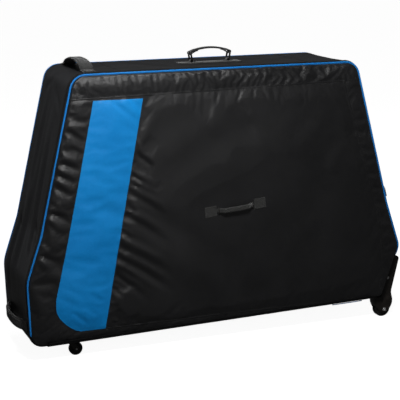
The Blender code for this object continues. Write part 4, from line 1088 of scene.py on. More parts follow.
def makeZip():
    # a tape on the gusset behind the near piping, with two rows of teeth that mesh along its
    # middle
    rise = side["gap"] + trim["tapeThick"] / 2
    path = spacedPath(sideRun(-rise, *trim["tapeEnds"]), trim["lineSpacing"])
    section = tapeSection(trim["tapeWidth"], trim["tapeThick"], 6)
    tape = sweepPiece("zipTape", inSpace(path, trim["tapeMiddle"]), section, (0.0, 1.0, 0.0))
    settle(tape, "bag", "zip", ["zip_tape"], smoothAngle=50.0)
    path = spacedPath(sideRun(-rise - trim["toothRise"], *trim["tapeEnds"]), trim["toothPitch"] / 2)
    outward = outwardOf(path)
    along = np.stack([outward[:, 1], -outward[:, 0]], axis=1)
    offset = np.where(np.arange(len(path)) % 2 == 0, trim["toothShift"], -trim["toothShift"])
    spots = inSpace(path, trim["tapeMiddle"] + offset)
    teeth = copyAlong("zipTeeth", toothUnit(), spots, inSpace(along, 0.0), inSpace(outward, 0.0))
    settle(teeth, "bag", "plastic", smoothAngle=30.0)


makeZip()


def sewSeams(welts, sign, skin, body, name):
    # the seams of one side panel: a welt on each and rows of stitches beside it, only one row
    # at the foot
    rows = []
    for weltName, seam in welts.items():
        line, normals = panelLine(panel[seam], sign, skin)
        welt(weltName, line, normals, body)
        for way in ((-1, 1) if seam != "footSeam" else (1,)):
            row = shifted(spacedPath(panel[seam], trim["rowSpacing"]), way * trim["rowOffset"])
            rows.append(panelLine(row, sign, skin))
    stitches(name, rows, body)


def gussetSeams():
    # cross seams on the top, hem laps on both ends, and the rows of stitches beside them
    rows = []
    for index, x in enumerate(gusset["topSeams"]):
        depths = np.linspace(gusset["seamStart"], gusset["seamEdge"], 44)
        seam, *beside = [layOn(gussetSkin, [(x + amount, y, trim["topHeight"]) for y in depths], down)
                         for amount in (0.0, -trim["rowOffset"], trim["rowOffset"])]
        welt("crossSeamWelt%d" % (index + 1), *seam, "bag")
        rows += beside
    height = side["hemHeight"] + trim["hemLift"]
    for name, way in (("leftHemWelt", 1.0), ("rightHemWelt", -1.0)):
        depths, x = np.linspace(-gusset["seamEdge"], gusset["seamEdge"], 50), -way * trim["endPlace"]
        lap, row = [layOn(gussetSkin, [(x, y, height + amount) for y in depths], (way, 0.0, 0.0))
                    for amount in (0.0, gusset["hemRow"])]
        welt(name, *lap, "bag", "base")
        rows.append(row)
    stitches("gussetStitches", rows, "bag")


# a strip of cloth sewn round the lower hem, along the edge where the near panel opens
hem = {
    "low": -0.552, "high": 0.522, "spacing": 0.010, "wall": 0.0011, "cordLow": 0.385, "cordHigh": 0.492,
    "cordSize": 0.0014, "cordDrop": 0.0077, "cordDepth": -0.1417, "bend": (-0.1375, -0.1452),
    "bendHeight": 0.065,
    "pivot": ((0.0, -0.1407, 0.0683), (0.99975, 0.0, 0.0225)),
    "profile": ((-0.1290, -0.0011), (-0.1370, -0.0013), (-0.1405, -0.0010), (-0.1428, 0.0002),
                (-0.1444, 0.0022), (-0.1462, 0.0044), (-0.1490, 0.0066), (-0.1512, 0.0096),
                (-0.1526, 0.0130)),
}


def makeHem():
    baseLine = edgeLines(0.0)[0]
    profile = spacedPath(hem["profile"], 0.0016)
    columns = int((hem["high"] - hem["low"]) / hem["spacing"])
    piece, a, b = gridPiece("hemStrip", columns, len(profile) - 1)
    row = np.rint(b * (len(profile) - 1)).astype(int)
    x = hem["low"] + (hem["high"] - hem["low"]) * a
    flat = np.stack([x, b * 0.03], axis=1)
    ripple = swell(flat, 30.0, 61) * 0.00035
    height = baseLine(x) + profile[row, 1] - ripple * 0.5
    setPlaces(piece, np.stack([x, profile[row, 0] - ripple, height], axis=1))
    writeClothMap(piece, x, b * 0.026)
    faceTowards(piece, (0.0, -1.0, -0.3))
    thicken(piece, hem["wall"])
    bagEnd, lidEnd = [(0.0, depth, hem["bendHeight"]) for depth in hem["bend"]]
    settle(piece, ("bag", "near_lid", bagEnd, lidEnd), "base", smoothAngle=50.0)
    xs = np.linspace(hem["cordLow"], hem["cordHigh"], 40)
    share = (xs - hem["cordLow"]) / (hem["cordHigh"] - hem["cordLow"])
    sunk = 0.0022 * (1.0 - np.sin(share * math.pi) ** 0.5)
    pivot, axis = hem["pivot"]
    hingeHeight = pivot[2] + (xs - pivot[0]) * axis[2] / axis[0]
    line = np.stack([xs, sunk + hem["cordDepth"], hingeHeight - hem["cordDrop"]], axis=1)
    cord = sweepPiece("hemCord", line, roundSection(hem["cordSize"], 10), (0.0, 1.0, 0.0))
    settle(cord, "bag", "piping", smoothAngle=60.0)


nearWelts = {"topSeamWelt": "topSeam", "lowSeamWelt": "lowSeam", "endSeamWelt": "endSeam",
             "footSeamWelt": "footSeam"}
farWelts = {"farTopWelt": "topSeam", "farLowWelt": "lowSeam", "farEndWelt": "endSeam"}
sewSeams(nearWelts, -1.0, nearSkin, "near_lid", "nearPanelStitches")
sewSeams(farWelts, 1.0, farSkin, "bag", "farPanelStitches")
gussetSeams()
makeHem()
print("piping, zip, seams and hem made")


# Side handles: sewn patches, a folded grip and the small loops at its ends

sideHandle = {
    "x": 0.0355, "z": 0.4240, "tilt": math.radians(5.0), "gripLength": 0.122, "standOff": 0.0150,
    "pivotDepth": 0.1586, "gripHeight": 0.0150, "gripThick": 0.0074, "seam": 0.0011, "seamWide": 0.0011,
    "patchLength": 0.0390, "patchHeight": 0.0330, "patchThick": 0.0019, "foldDrop": 0.0009,
    "rowInsets": (0.0034, 0.0068), "rowSpacing": 0.0022, "gripRow": 0.0029, "loopHeight": 0.0200,
    "loopReach": 0.0078, "loopWire": 0.0015, "loopRadius": 0.0022, "sag": 0.0012,
}


def handleFrame(sign):
    # directions along the grip, across it and outwards
    tilt = sideHandle["tilt"]
    along = np.array((math.cos(tilt), 0.0, math.sin(tilt)))
    across = np.array((-math.sin(tilt), 0.0, math.cos(tilt)))
    return along, across, np.array((0.0, sign, 0.0))


def makePatch(name, sign, end, tree, body, node):
    # a square of webbing with folded edges, laid on the panel; gives its rows of stitches
    along, across = handleFrame(sign)[:2]
    length, height = sideHandle["patchLength"], sideHandle["patchHeight"]
    reach = (sideHandle["gripLength"] + length) / 2 + side["gap"]
    middle = np.array((sideHandle["x"], 0.0, sideHandle["z"])) + along * end * reach
    piece, a, b = gridPiece(name, 30, 26)
    u, v = (a - 0.5) * length * -sign, (b - 0.5) * height
    flat = middle + along * u[:, None] + across * v[:, None]
    depth = depthOn(tree, flat[:, [0, 2]], sign)
    fromEdge = np.minimum(length / 2 - np.abs(u), height / 2 - np.abs(v))
    fold = 0.0007 * smooth(fromEdge / 0.0015) - 0.0005 * np.exp(-((fromEdge - 0.0048) / 0.0009) ** 2)
    sewn = -0.0003 * np.exp(-((np.abs(u) - np.abs(v) * length / height) / 0.0012) ** 2)
    rise = side["gap"] + sideHandle["patchThick"] - sideHandle["foldDrop"]
    flat[:, 1] = sign * (depth + rise + fold + sewn * (fromEdge > 0.005))
    setPlaces(piece, flat)
    writeClothMap(piece, u, v)
    thicken(piece, sideHandle["patchThick"] - 0.0006)
    settle(piece, body, "webbing", [node])
    sets = []
    for inset in sideHandle["rowInsets"]:
        w, h = length / 2 - inset, height / 2 - inset
        sets.append([(-w, -h), (w, -h), (w, h), (-w, h), (-w, -h)])
    sets += [[(-w, -h), (w, h)], [(-w, h), (w, -h)]]
    skin = surfaceOf(piece)
    rows = []
    for points in sets:
        row = [middle + along * p[0] + across * p[1] for p in spacedPath(points, sideHandle["rowSpacing"])]
        rows.append(layOn(skin, [(p[0], sign * 0.2, p[2]) for p in row], (0.0, -sign, 0.0)))
    return rows


def gripSection():
    # webbing folded round a core, its two edges meeting in a groove along the front
    half, thick = sideHandle["gripHeight"] / 2, sideHandle["gripThick"] / 2
    points = []
    for k in range(32):
        angle = 2.0 * math.pi * k / 32
        x = half * math.copysign(abs(math.cos(angle)) ** 0.75, math.cos(angle))
        y = thick * math.copysign(abs(math.sin(angle)) ** 0.75, math.sin(angle))
        if y > 0.0:
            y -= sideHandle["seam"] * math.exp(-(x / sideHandle["seamWide"]) ** 2)
        points.append((x, y))
    return points


def makeGrip(name, sign, body, node):
    # the folded grip with two rows of stitches, and a small loop at each end
    along, across, outward = handleFrame(sign)
    pivot = np.array((sideHandle["x"], sign * sideHandle["pivotDepth"], sideHandle["z"]))
    half = sideHandle["gripLength"] / 2 - 0.0015
    shares = np.linspace(-1.0, 1.0, 61)
    rise = sideHandle["standOff"] * smooth((1.0 - np.abs(shares)) / 0.42) ** 0.8
    rise += 0.0006 * np.sin(shares * 5.0) * (1.0 - shares ** 2)
    line = pivot + along * (shares * half)[:, None] * -sign + outward * rise[:, None]
    line += across * (-sideHandle["sag"] * (1.0 - shares ** 2))[:, None]
    pinch = smooth((1.0 - np.abs(shares)) / 0.10)
    sizes = np.stack([0.72 + 0.28 * pinch, 0.55 + 0.45 * pinch], axis=1)
    piece = sweepPiece(name, line, gripSection(), across * -sign, sizes)
    settle(piece, body, "webbing", [node], smoothAngle=50.0)
    skin = surfaceOf(piece)
    rows = []
    for amount in (-sideHandle["gripRow"], sideHandle["gripRow"]):
        rows.append(layOn(skin, line[4:-4] + across * amount + outward * 0.03, -outward))
    stitches(name + "Stitches", rows, body)
    section = roundSection(sideHandle["loopWire"], 8)
    corners = roundedBox(sideHandle["loopHeight"], sideHandle["loopReach"], sideHandle["loopRadius"], 5)
    for index, end in enumerate((-1.0, 1.0)):
        spot = pivot + along * end * (half - 0.0045) + outward * 0.0010
        path = [spot + across * (h - 0.0006) + outward * (d + 0.0018) for h, d in corners]
        loop = sweepPiece(name + "Loop%d" % (index + 1), path, section, along, closed=True)
        settle(loop, body, "plastic", smoothAngle=60.0)


def roundedBox(width, height, radius, steps):
    # a closed flat line round a box with rounded corners, centred
    points = []
    for sx, sy, start in ((1, 1, 0), (-1, 1, 90), (-1, -1, 180), (1, -1, 270)):
        centre = (sx * (width / 2 - radius), sy * (height / 2 - radius))
        for k in range(steps):
            angle = math.radians(start + 90.0 * k / (steps - 1))
            points.append((centre[0] + radius * math.cos(angle), centre[1] + radius * math.sin(angle)))
    return points


for word, sign, skin, body in (("near", -1.0, nearSkin, "near_lid"), ("far", 1.0, farSkin, "bag")):
    patchRows = []
    for tag, end in (("Left", -1), ("Right", 1)):
        node = word + "_patch_" + tag.lower()
        patchRows += makePatch(word + "Patch" + tag, sign, end, skin, body, node)
    stitches(word + "PatchStitches", patchRows, body)
    makeGrip(word + "Grip", sign, word + "_handle", word + "_grip")


# Top handle: base, keepers, rings and the strap grip

topHandle = {
    "x": 0.015, "baseLength": 0.205, "baseWidth": 0.045, "baseThick": 0.0022, "baseCorner": 0.006,
    "baseGrid": 0.0026, "baseRows": (0.0035, 0.0065), "crossRows": (-0.080, -0.036, 0.036, 0.080),
    "halfSpan": 0.060, "axisRise": 0.0065, "ringWidth": 0.022, "ringHeight": 0.024, "ringWire": 0.0029,
    "ringCorner": 0.0034, "lean": math.radians(11.0), "keeperWidth": 0.016, "keeperThick": 0.0012,
    "keeperFoot": 0.013, "keeperRadius": 0.0038, "keeperRows": (-0.0105, -0.0075, 0.0075, 0.0105),
    "keeperRowHalf": 0.0068, "gripWidth": 0.0165, "gripThick": 0.0030, "gripRise": 0.0150,
    "hookRadius": 0.0043, "gripRow": 0.0062, "padAbove": 0.03, "gripAbove": 0.08,
}


def topHeight(x):
    low, high = side["corners"][3], side["corners"][4]
    return low[2] + (x - low[1]) * (high[2] - low[2]) / (high[1] - low[1])


def onTop(points):
    # places given along, across and above the top at the handle's middle
    low, high = side["corners"][3], side["corners"][4]
    slope = math.atan2(high[2] - low[2], high[1] - low[1])
    origin = np.array((topHandle["x"], 0.0, topHeight(topHandle["x"])))
    points = np.asarray(points, float)
    along = np.array((math.cos(slope), 0.0, math.sin(slope)))
    up = np.array((-math.sin(slope), 0.0, math.cos(slope)))
    return origin + points[:, :1] * along + points[:, 1:2] * np.array((0.0, 1.0, 0.0)) + points[:, 2:3] * up


def makeTopPad():
    # a flat piece of webbing with rounded corners and pressed edges
    length, width = topHandle["baseLength"], topHandle["baseWidth"]
    thick, corner = topHandle["baseThick"] + side["gap"], topHandle["baseCorner"]
    columns, rows = int(length / topHandle["baseGrid"]), int(width / topHandle["baseGrid"])
    piece, a, b = gridPiece("topHandlePad", columns, rows)
    u, v = (a - 0.5) * length, (b - 0.5) * width
    fromSide, fromEnd = width / 2 - np.abs(v), length / 2 - np.abs(u)
    cut = np.clip(corner - fromSide, 0.0, corner)
    limit = length / 2 - (corner - np.sqrt(np.maximum(corner ** 2 - cut ** 2, 0.0)))
    u = u * limit / (length / 2)
    edge = np.minimum(fromSide, fromEnd)
    rise = thick * (0.55 + 0.45 * smooth(edge / 0.0016)) - 0.0004 * np.exp(-((edge - 0.0042) / 0.0011) ** 2)
    setPlaces(piece, onTop(np.stack([u, v, rise], axis=1)))
    writeClothMap(piece, u, v)
    thicken(piece, thick * 0.55)
    return settle(piece, "bag", "webbing", ["top_handle_base"])


def crossRow(skin, x, half, count, height):
    # a row of stitches across a piece of the top handle, dropped onto it from a height
    return layOn(skin, onTop([(x, y, height) for y in np.linspace(-half, half, count)]), down)


def makeTopHandle():
    skin = surfaceOf(makeTopPad())
    rows = []
    for inset in topHandle["baseRows"]:
        w, h = topHandle["baseLength"] / 2 - inset, topHandle["baseWidth"] / 2 - inset
        border = roundedBox(2 * w, 2 * h, 0.004, 5)
        flat = onTop([(x, y, topHandle["padAbove"]) for x, y in spacedPath(border + border[:1], 0.003)])
        rows.append(layOn(skin, flat, down))
    rows += [crossRow(skin, x, 0.014, 10, topHandle["padAbove"]) for x in topHandle["crossRows"]]
    stitches("topPadStitches", rows, "bag")
    for word, end in (("left", -1.0), ("right", 1.0)):
        makeKeeper(word, end)
        makeRing(word, end)
    makeTopGrip()


def makeKeeper(word, end):
    # webbing looped over the ring's lower bar and sewn down on both sides
    radius, thick, foot = topHandle["keeperRadius"], topHandle["keeperThick"], topHandle["keeperFoot"]
    seat = 3 * side["gap"] + topHandle["baseThick"] + thick / 2
    middle = end * topHandle["halfSpan"]
    path = [(middle - foot, seat), (middle - foot * 0.7, seat), (middle - radius - 0.0012, seat + 0.0002)]
    for k in range(11):
        angle = math.radians(188.0 - 196.0 * k / 10)
        path.append((middle + radius * math.cos(angle), topHandle["axisRise"] + radius * math.sin(angle)))
    path += [(middle + radius + 0.0012, seat + 0.0002), (middle + foot * 0.7, seat), (middle + foot, seat)]
    line = onTop([(x, 0.0, z) for x, z in path])
    name = "topKeeper" + word.capitalize()
    piece = sweepPiece(name, line, tapeSection(topHandle["keeperWidth"], thick, 8), (0.0, 1.0, 0.0))
    settle(piece, "bag", "strap", ["top_keeper_" + word])
    skin = surfaceOf(piece)
    half = topHandle["keeperRowHalf"]
    places = [middle + reach for reach in topHandle["keeperRows"]]
    rows = [crossRow(skin, x, half, 6, topHandle["padAbove"]) for x in places]
    stitches(name + "Stitches", rows, "bag")


def makeRing(word, end):
    # a rounded rectangle of thick wire that leans a little outwards
    height, lean = topHandle["ringHeight"], topHandle["lean"] * end
    path = []
    for y, rise in roundedBox(topHandle["ringWidth"], height, topHandle["ringCorner"], 6):
        up = rise + height / 2
        path.append((end * topHandle["halfSpan"] + up * math.sin(lean), y,
                     topHandle["axisRise"] + up * math.cos(lean)))
    name, section = "topRing" + word.capitalize(), roundSection(topHandle["ringWire"], 12)
    piece = sweepPiece(name, onTop(path), section, (1.0, 0.0, 0.0), closed=True)
    settle(piece, word + "_ring", "ring", ["top_ring_" + word], smoothAngle=60.0)


def makeTopGrip():
    # one strap hooked through both rings, its ends folded back and sewn, thicker in the hand
    lean = topHandle["lean"]
    barX = topHandle["halfSpan"] + topHandle["ringHeight"] * math.sin(lean)
    barZ = topHandle["axisRise"] + topHandle["ringHeight"] * math.cos(lean)
    radius, thick = topHandle["hookRadius"], topHandle["gripThick"]
    half = [(-barX + 0.025, barZ + 0.0073), (-barX + 0.016, barZ + 0.0047), (-barX + 0.0080, barZ + 0.0004)]
    for k in range(13):
        angle = math.radians(318.0 - 210.0 * k / 12)
        half.append((-barX + radius * math.cos(angle), barZ + radius * math.sin(angle)))
    for share in np.linspace(0.10, 1.0, 14):
        up = radius + (topHandle["gripRise"] - radius) * math.sin(share * math.pi / 2) ** 0.9
        half.append((-barX * (1.0 - share), barZ + up))
    path = half + [(-x, z) for x, z in reversed(half[:-1])]
    line = spacedPath(onTop([(x, 0.0, z) for x, z in path]), 0.0022)
    middle = smooth((0.60 - np.abs(np.linspace(-1.0, 1.0, len(line)))) / 0.10)
    sizes = np.stack([1.0 - 0.10 * middle, 1.0 + 0.75 * middle], axis=1)
    section = tapeSection(topHandle["gripWidth"], thick, 9)
    piece = sweepPiece("topGrip", line, section, (0.0, 1.0, 0.0), sizes)
    settle(piece, "top_strap", "strap", ["top_grip"], smoothAngle=50.0)
    skin = surfaceOf(piece)
    rows = []
    for y in (-topHandle["gripRow"], topHandle["gripRow"]):
        xs = np.linspace(-barX + 0.004, barX - 0.004, 40)
        flat = onTop([(x, y, topHandle["gripAbove"]) for x in xs])
        rows.append(layOn(skin, flat, down))
    for x in (-barX + 0.010, -barX + 0.024, barX - 0.024, barX - 0.010):
        rows.append(crossRow(skin, x, topHandle["gripRow"], 6, topHandle["gripAbove"]))
    stitches("topGripStitches", rows, "top_strap")


makeTopHandle()


# Grab straps: over the top left corner, and across the lower left edge

grabStrap = {
    "top": {"x": -0.402, "width": 0.040, "half": 0.121, "arch": 0.0255, "thick": 0.0052, "foot": 0.030},
    "low": {"z": 0.112, "width": 0.034, "half": 0.122, "arch": 0.0190, "thick": 0.0046, "foot": 0.030},
    "cover": 0.72, "coverThick": 0.0014, "spacing": 0.0034, "press": 0.21, "rowInset": 0.0025,
}


def strapPath(half, foot, arch):
    # places across the bag and rises off the cloth: flat feet, and an arch that leaves them steeply
    free = half - foot
    points = [(-half, 0.0), (-half + foot * 0.5, 0.0), (-free - 0.004, 0.0)]
    for share in np.sin(np.linspace(-0.485, 0.485, 33) * math.pi):
        points.append((free * share, arch * (1.0 - abs(share) ** 2.3) ** 0.62))
    return points + [(free + 0.004, 0.0), (half - foot * 0.5, 0.0), (half, 0.0)]


def makeStrap(name, look, root, outward, wide, node):
    # a padded strap with a narrower webbing sewn along its top: it starts at root, stands off
    # outwards and is wide along wide
    seat = side["gap"] + look["thick"] / 2
    points = strapPath(look["half"], look["foot"], look["arch"])
    line = np.array([root + outward * (seat + rise) + np.array((0.0, y, 0.0)) for y, rise in points])
    line = spacedPath(line, grabStrap["spacing"])
    flatFoot = smooth((np.abs(np.linspace(-1.0, 1.0, len(line))) - 0.80) / 0.06)
    sizes = np.stack([1.0 - 0.03 * flatFoot, 1.0 - 2 * grabStrap["press"] * flatFoot], axis=1)
    line -= outward * (look["thick"] * grabStrap["press"] * flatFoot)[:, None]
    piece = sweepPiece(name, line, tapeSection(look["width"], look["thick"], 12), wide, sizes)
    settle(piece, "bag", "strap", [node], smoothAngle=50.0)
    lift = np.cross(wide, unitRows(np.gradient(line, axis=0)))
    lift *= np.sign(lift @ outward + 1e-9)[:, None]
    lift = np.where(np.abs(np.sum(lift * outward, axis=1))[:, None] < 0.05, outward, lift)
    thick, web = grabStrap["coverThick"], look["width"] * grabStrap["cover"]
    above = line + lift * (look["thick"] * (0.5 - grabStrap["press"] * flatFoot) + thick / 2)[:, None]
    top = sweepPiece(name + "Web", above, tapeSection(web, thick, 8), wide)
    settle(top, "bag", "webbing", smoothAngle=50.0)
    half = web / 2 - grabStrap["rowInset"]
    over = above + lift * thick / 2
    rows = [(over + wide * amount, lift) for amount in (-half, half)]
    last = len(over) - 1
    inner = int(round(look["foot"] / grabStrap["spacing"])) - 1
    for first, second in ((1, inner), (last - 1, last - inner)):
        ends = [over[first] - wide * half, over[second] + wide * half, over[first] + wide * half,
                over[second] - wide * half]
        for p, q in ((ends[0], ends[1]), (ends[2], ends[3]), (ends[0], ends[2]), (ends[1], ends[3])):
            run = np.array([p + (q - p) * t for t in np.linspace(0.0, 1.0, 8)])
            rows.append((run, np.repeat([lift[first]], 8, axis=0)))
    stitches(name + "Stitches", rows, "bag")


def makeStraps():
    top, low = grabStrap["top"], grabStrap["low"]
    root = np.array((top["x"], 0.0, topHeight(top["x"])))
    up, along = np.array((0.0, 0.0, 1.0)), np.array((1.0, 0.0, 0.0))
    makeStrap("topGrabStrap", top, root, up, along, "top_grab_strap")
    foot, bulge = side["corners"][0], side["corners"][1]
    run = np.array((bulge[1] - foot[1], 0.0, bulge[2] - foot[2]))
    run /= np.linalg.norm(run)
    x = foot[1] + (bulge[1] - foot[1]) * (low["z"] - foot[2]) / (bulge[2] - foot[2])
    root = np.array((x, 0.0, low["z"]))
    makeStrap("lowGrabStrap", low, root, np.array((-run[2], 0.0, run[0])), run, "low_grab_strap")


makeStraps()
print("handles and grab straps made")


# Moulded and metal pieces

slotOf = {row["node"]: row["material_slot"] for row in frame["record"]["subparts"]}
paintOf = {"black_plastic": "plastic", "grey_plastic": "grey", "rubber": "rubber", "steel": "steel",
           "aluminium": "aluminium"}


def camelName(node):
    first, *rest = node.split("_")
    return first + "".join(word.capitalize() for word in rest)


def fitOut(piece, node, smoothAngle=35.0):
    # the look and body of the solid that a piece stands for, the look chosen by the solid's slot
    settle(piece, frame["nodes"][node]["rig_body"], paintOf[slotOf[node]], [node], smoothAngle)


def insetFaces(piece, looksRight, steps, even):
    # raises or sinks the middle of the largest faces whose normals pass a test
    editAll(piece)
    bpy.ops.mesh.select_mode(type="FACE")
    bpy.ops.mesh.select_all(action="DESELECT")
    work = bmesh.from_edit_mesh(piece.data)
    facing = [face for face in work.faces if looksRight(face.normal)]
    largest = max(face.calc_area() for face in facing)
    for face in facing:
        face.select = face.calc_area() > 0.6 * largest
    bmesh.update_edit_mesh(piece.data)
    for width, rise in steps:
        bpy.ops.mesh.inset(thickness=width, depth=rise, use_even_offset=even)
    closeEdit()


def refine(node, width, segments=3, field=None):
    # the frame's own solid with its flat faces whole again, a shallow field sunk into its
    # top where one is given, and its edges softened
    piece = bpy.data.objects.new(camelName(node), frame["nodes"][node].data.copy())
    bpy.context.scene.collection.objects.link(piece)
    onlySelect(piece)
    bpy.ops.mesh.customdata_custom_splitnormals_clear()
    editAll(piece)
    bpy.ops.mesh.remove_doubles(threshold=2 * weldDistance)
    bpy.ops.mesh.dissolve_limited(angle_limit=math.radians(1.0))
    bpy.ops.mesh.normals_make_consistent(inside=False)
    closeEdit()
    if field:
        insetFaces(piece, lambda normal: normal.z > 0.95, [field], True)
    applyModifier(piece, "BEVEL", {"width": width, "segments": segments, "limit_method": "ANGLE",
                                   "angle_limit": math.radians(28.0), "use_clamp_overlap": True})
    fitOut(piece, node)


def turned(name, profile, centre, steps):
    # spins a closed profile of (radius, depth) pairs round an axle that runs across the bag
    bpy.ops.mesh.primitive_circle_add(vertices=len(profile), radius=1.0)
    piece = newest(name)
    x, y, z = Vector(centre)
    setPlaces(piece, np.array([(x + radius, y + depth, z) for radius, depth in profile]))
    editAll(piece)
    bpy.ops.mesh.spin(steps=steps, angle=2.0 * math.pi, center=centre, axis=(0.0, 1.0, 0.0))
    bpy.ops.mesh.select_all(action="SELECT")
    bpy.ops.mesh.remove_doubles(threshold=weldDistance)
    bpy.ops.mesh.normals_make_consistent(inside=False)
    closeEdit()
    return piece


def turnedPart(node, name, profile, steps, smoothAngle=30.0):
    fitOut(turned(name, profile, middleOf(node), steps), node, smoothAngle)


def arcProfile(centreRadius, centreDepth, size, start, end, count):
    points = []
    for angle in np.radians(np.linspace(start, end, count)):
        points.append((centreRadius + size * math.cos(angle), centreDepth + size * math.sin(angle)))
    return points


wheel = {
    "x": 0.584, "radius": 0.027, "width": 0.024, "hub": 0.018, "bore": 0.0039, "shoulder": 0.0045,
    "grooves": (-0.0045, 0.0045), "grooveDeep": 0.0011, "grooveWide": 0.0009, "spokes": 6, "boss": 0.42,
    "web": 0.45, "axleHead": 0.0055, "headHigh": 0.0018, "shank": 0.0035, "screwHead": 0.0046,
}
caster = {
    "radius": 0.0205, "width": 0.018, "bore": 0.0029, "shoulder": 0.0042, "pinHead": 0.0025,
    "pinHigh": 0.0008, "pin": 0.0024,
}


def tyreProfile():
    radius, half, shoulder = wheel["radius"], wheel["width"] / 2, wheel["shoulder"]
    points = arcProfile(radius - shoulder, half - shoulder, shoulder, 90.0, 0.0, 7)
    for groove in reversed(wheel["grooves"]):
        wide, deep = wheel["grooveWide"], wheel["grooveDeep"]
        points += [(radius, groove + wide), (radius - deep, groove + wide * 0.5),
                   (radius - deep, groove - wide * 0.5), (radius, groove - wide)]
    points += arcProfile(radius - shoulder, -half + shoulder, shoulder, 0.0, -90.0, 7)
    inner = wheel["hub"] + side["gap"]
    return points + [(inner + 0.0006, -half), (inner, -half + 0.0006), (inner, half - 0.0006),
                     (inner + 0.0006, half)]


def hubProfile():
    half = wheel["width"] / 2
    rim, bore = wheel["hub"], wheel["bore"]
    web, boss = half * wheel["web"], rim * wheel["boss"]
    flange = rim * 0.80
    left = [(rim, half - 0.0005), (rim - 0.0005, half), (flange + 0.0005, half), (flange, half - 0.0005),
            (flange - 0.0006, web + 0.0006), (flange - 0.0012, web), (boss + 0.0012, web),
            (boss, web + 0.0012), (boss, half - 0.0004), (boss - 0.0004, half), (bore + 0.0004, half),
            (bore, half - 0.0004)]
    return left + [(radius, -depth) for radius, depth in reversed(left)]


def spokeSet(name, centre, body, sign):
    # short ribs between the hub's boss and its flange, on one face
    half = wheel["width"] / 2
    inner, outer, web = wheel["hub"] * wheel["boss"], wheel["hub"] * 0.78, half * wheel["web"]
    ribs = []
    for k in range(wheel["spokes"]):
        angle = 2.0 * math.pi * k / wheel["spokes"]
        bpy.ops.mesh.primitive_cube_add(size=1.0)
        rib = bpy.context.active_object
        applyModifier(rib, "BEVEL", {"width": 0.12, "segments": 2})
        spots = meshPlaces(rib)
        reach = inner + (outer - inner) * (spots[:, 0] + 0.5)
        wide = spots[:, 1] * 0.0026 * (1.0 - 0.25 * (spots[:, 0] + 0.5))
        depth = sign * (web + (half - 0.0008 - web) * (spots[:, 2] + 0.5))
        x = centre[0] + reach * math.cos(angle) - wide * math.sin(angle)
        z = centre[2] + reach * math.sin(angle) + wide * math.cos(angle)
        setPlaces(rib, np.stack([x, centre[1] + depth, z], axis=1))
        ribs.append(rib)
    piece = joinPieces(name, ribs)
    faceOutwards(piece)
    settle(piece, body, "grey")


def boltProfile(node, headRadius, headHeight, shankRadius):
    # a bolt across the bag: domed heads with a round recess, and a shank between them
    low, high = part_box(node)
    half = (high[1] - low[1]) / 2
    neck = half - headHeight
    head = [(0.0, half - 0.0009), (headRadius * 0.38, half - 0.0009), (headRadius * 0.42, half - 0.0001),
            (headRadius * 0.62, half), (headRadius * 0.86, half - headHeight * 0.28),
            (headRadius, neck + 0.0005), (headRadius, neck), (shankRadius, neck)]
    return head + [(radius, -depth) for radius, depth in reversed(head)]


def middleOf(node):
    low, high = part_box(node)
    return [(low[k] + high[k]) / 2 for k in range(3)]


housing = {
    "tip": 0.208, "leg": 0.027, "legFoot": 1.45, "round": 0.009, "wellGap": 0.0025, "bore": 0.0038,
    "crown": ((0.0007, 0.0013), (0.0011, 0.0010), (0.0016, 0.0007), (0.0024, 0.0004)),
    "fender": ((1.16, 1.20), (1.16, 0.82), (1.04, 0.42), (0.82, 0.02), (0.52, -0.32), (0.0, -0.50),
               (-0.52, -0.32), (-0.84, 0.04), (-1.06, 0.42), (-1.20, 0.80), (-1.22, 1.20)),
    "ring": ((0.0090, -0.0006), (0.0090, 0.0007), (0.0082, 0.0013), (0.0068, 0.0013), (0.0062, 0.0007),
             (0.0062, -0.0006)),
}


def filleted(points, radius, steps):
    # the same closed line with every corner rounded, less where its edges are short
    rounded = []
    count = len(points)
    for i in range(count):
        corner = Vector(points[i])
        before, after = corner - Vector(points[i - 1]), Vector(points[(i + 1) % count]) - corner
        reach = min(radius, before.length * 0.46, after.length * 0.46)
        start, end = corner - before.normalized() * reach, corner + after.normalized() * reach
        for k in range(steps + 1):
            t = k / steps
            rounded.append(start * (1.0 - t) ** 2 + corner * 2.0 * t * (1.0 - t) + end * t ** 2)
    return rounded


def housingOutline():
    arcs = outlineArcs(-side["gap"])
    foot, bulge = arcs["footRight"][0], arcs["bulgeRight"][-1]
    heading = (bulge - foot).normalized()
    outward = Vector((heading.y, -heading.x))
    tip = pointAtHeight(foot, bulge, housing["tip"])
    leg = housing["leg"]
    centre = Vector((wheel["x"], wheel["radius"]))
    points = [foot, tip, tip + heading * leg * 0.10 + outward * leg * 0.35, tip + outward * leg]
    points.append(foot + heading * leg * 0.5 + outward * leg * housing["legFoot"])
    points += [centre + Vector(share) * wheel["radius"] for share in housing["fender"]]
    baseLine, gap = edgeLines(0.0)[0], 2 * side["gap"]
    cornerX, cornerRadius = side["corners"][7][1], side["corners"][7][3]
    for x in (wheel["x"] - wheel["radius"] * 1.20, cornerX - cornerRadius):
        points.append(Vector((x, baseLine(x) - gap)))
    points.append(Vector((foot.x + gap, baseLine(cornerX) - gap)))
    return filleted(points, housing["round"], 5)


def plateFrom(name, outline, low, high):
    # a flat outline drawn out across the bag
    bpy.ops.mesh.primitive_circle_add(vertices=len(outline), radius=1.0, fill_type="NGON")
    piece = newest(name)
    setPlaces(piece, np.array([(point.x, low, point.y) for point in outline]))
    editAll(piece)
    bpy.ops.mesh.extrude_region_move(TRANSFORM_OT_translate={"value": (0.0, high - low, 0.0)})
    closeEdit()
    faceOutwards(piece)
    return piece


def carve(piece):
    # cuts the shape just added out of a piece
    cutter = bpy.context.active_object
    applyModifier(piece, "BOOLEAN", {"operation": "DIFFERENCE", "solver": "EXACT", "object": cutter})
    removePiece(cutter)


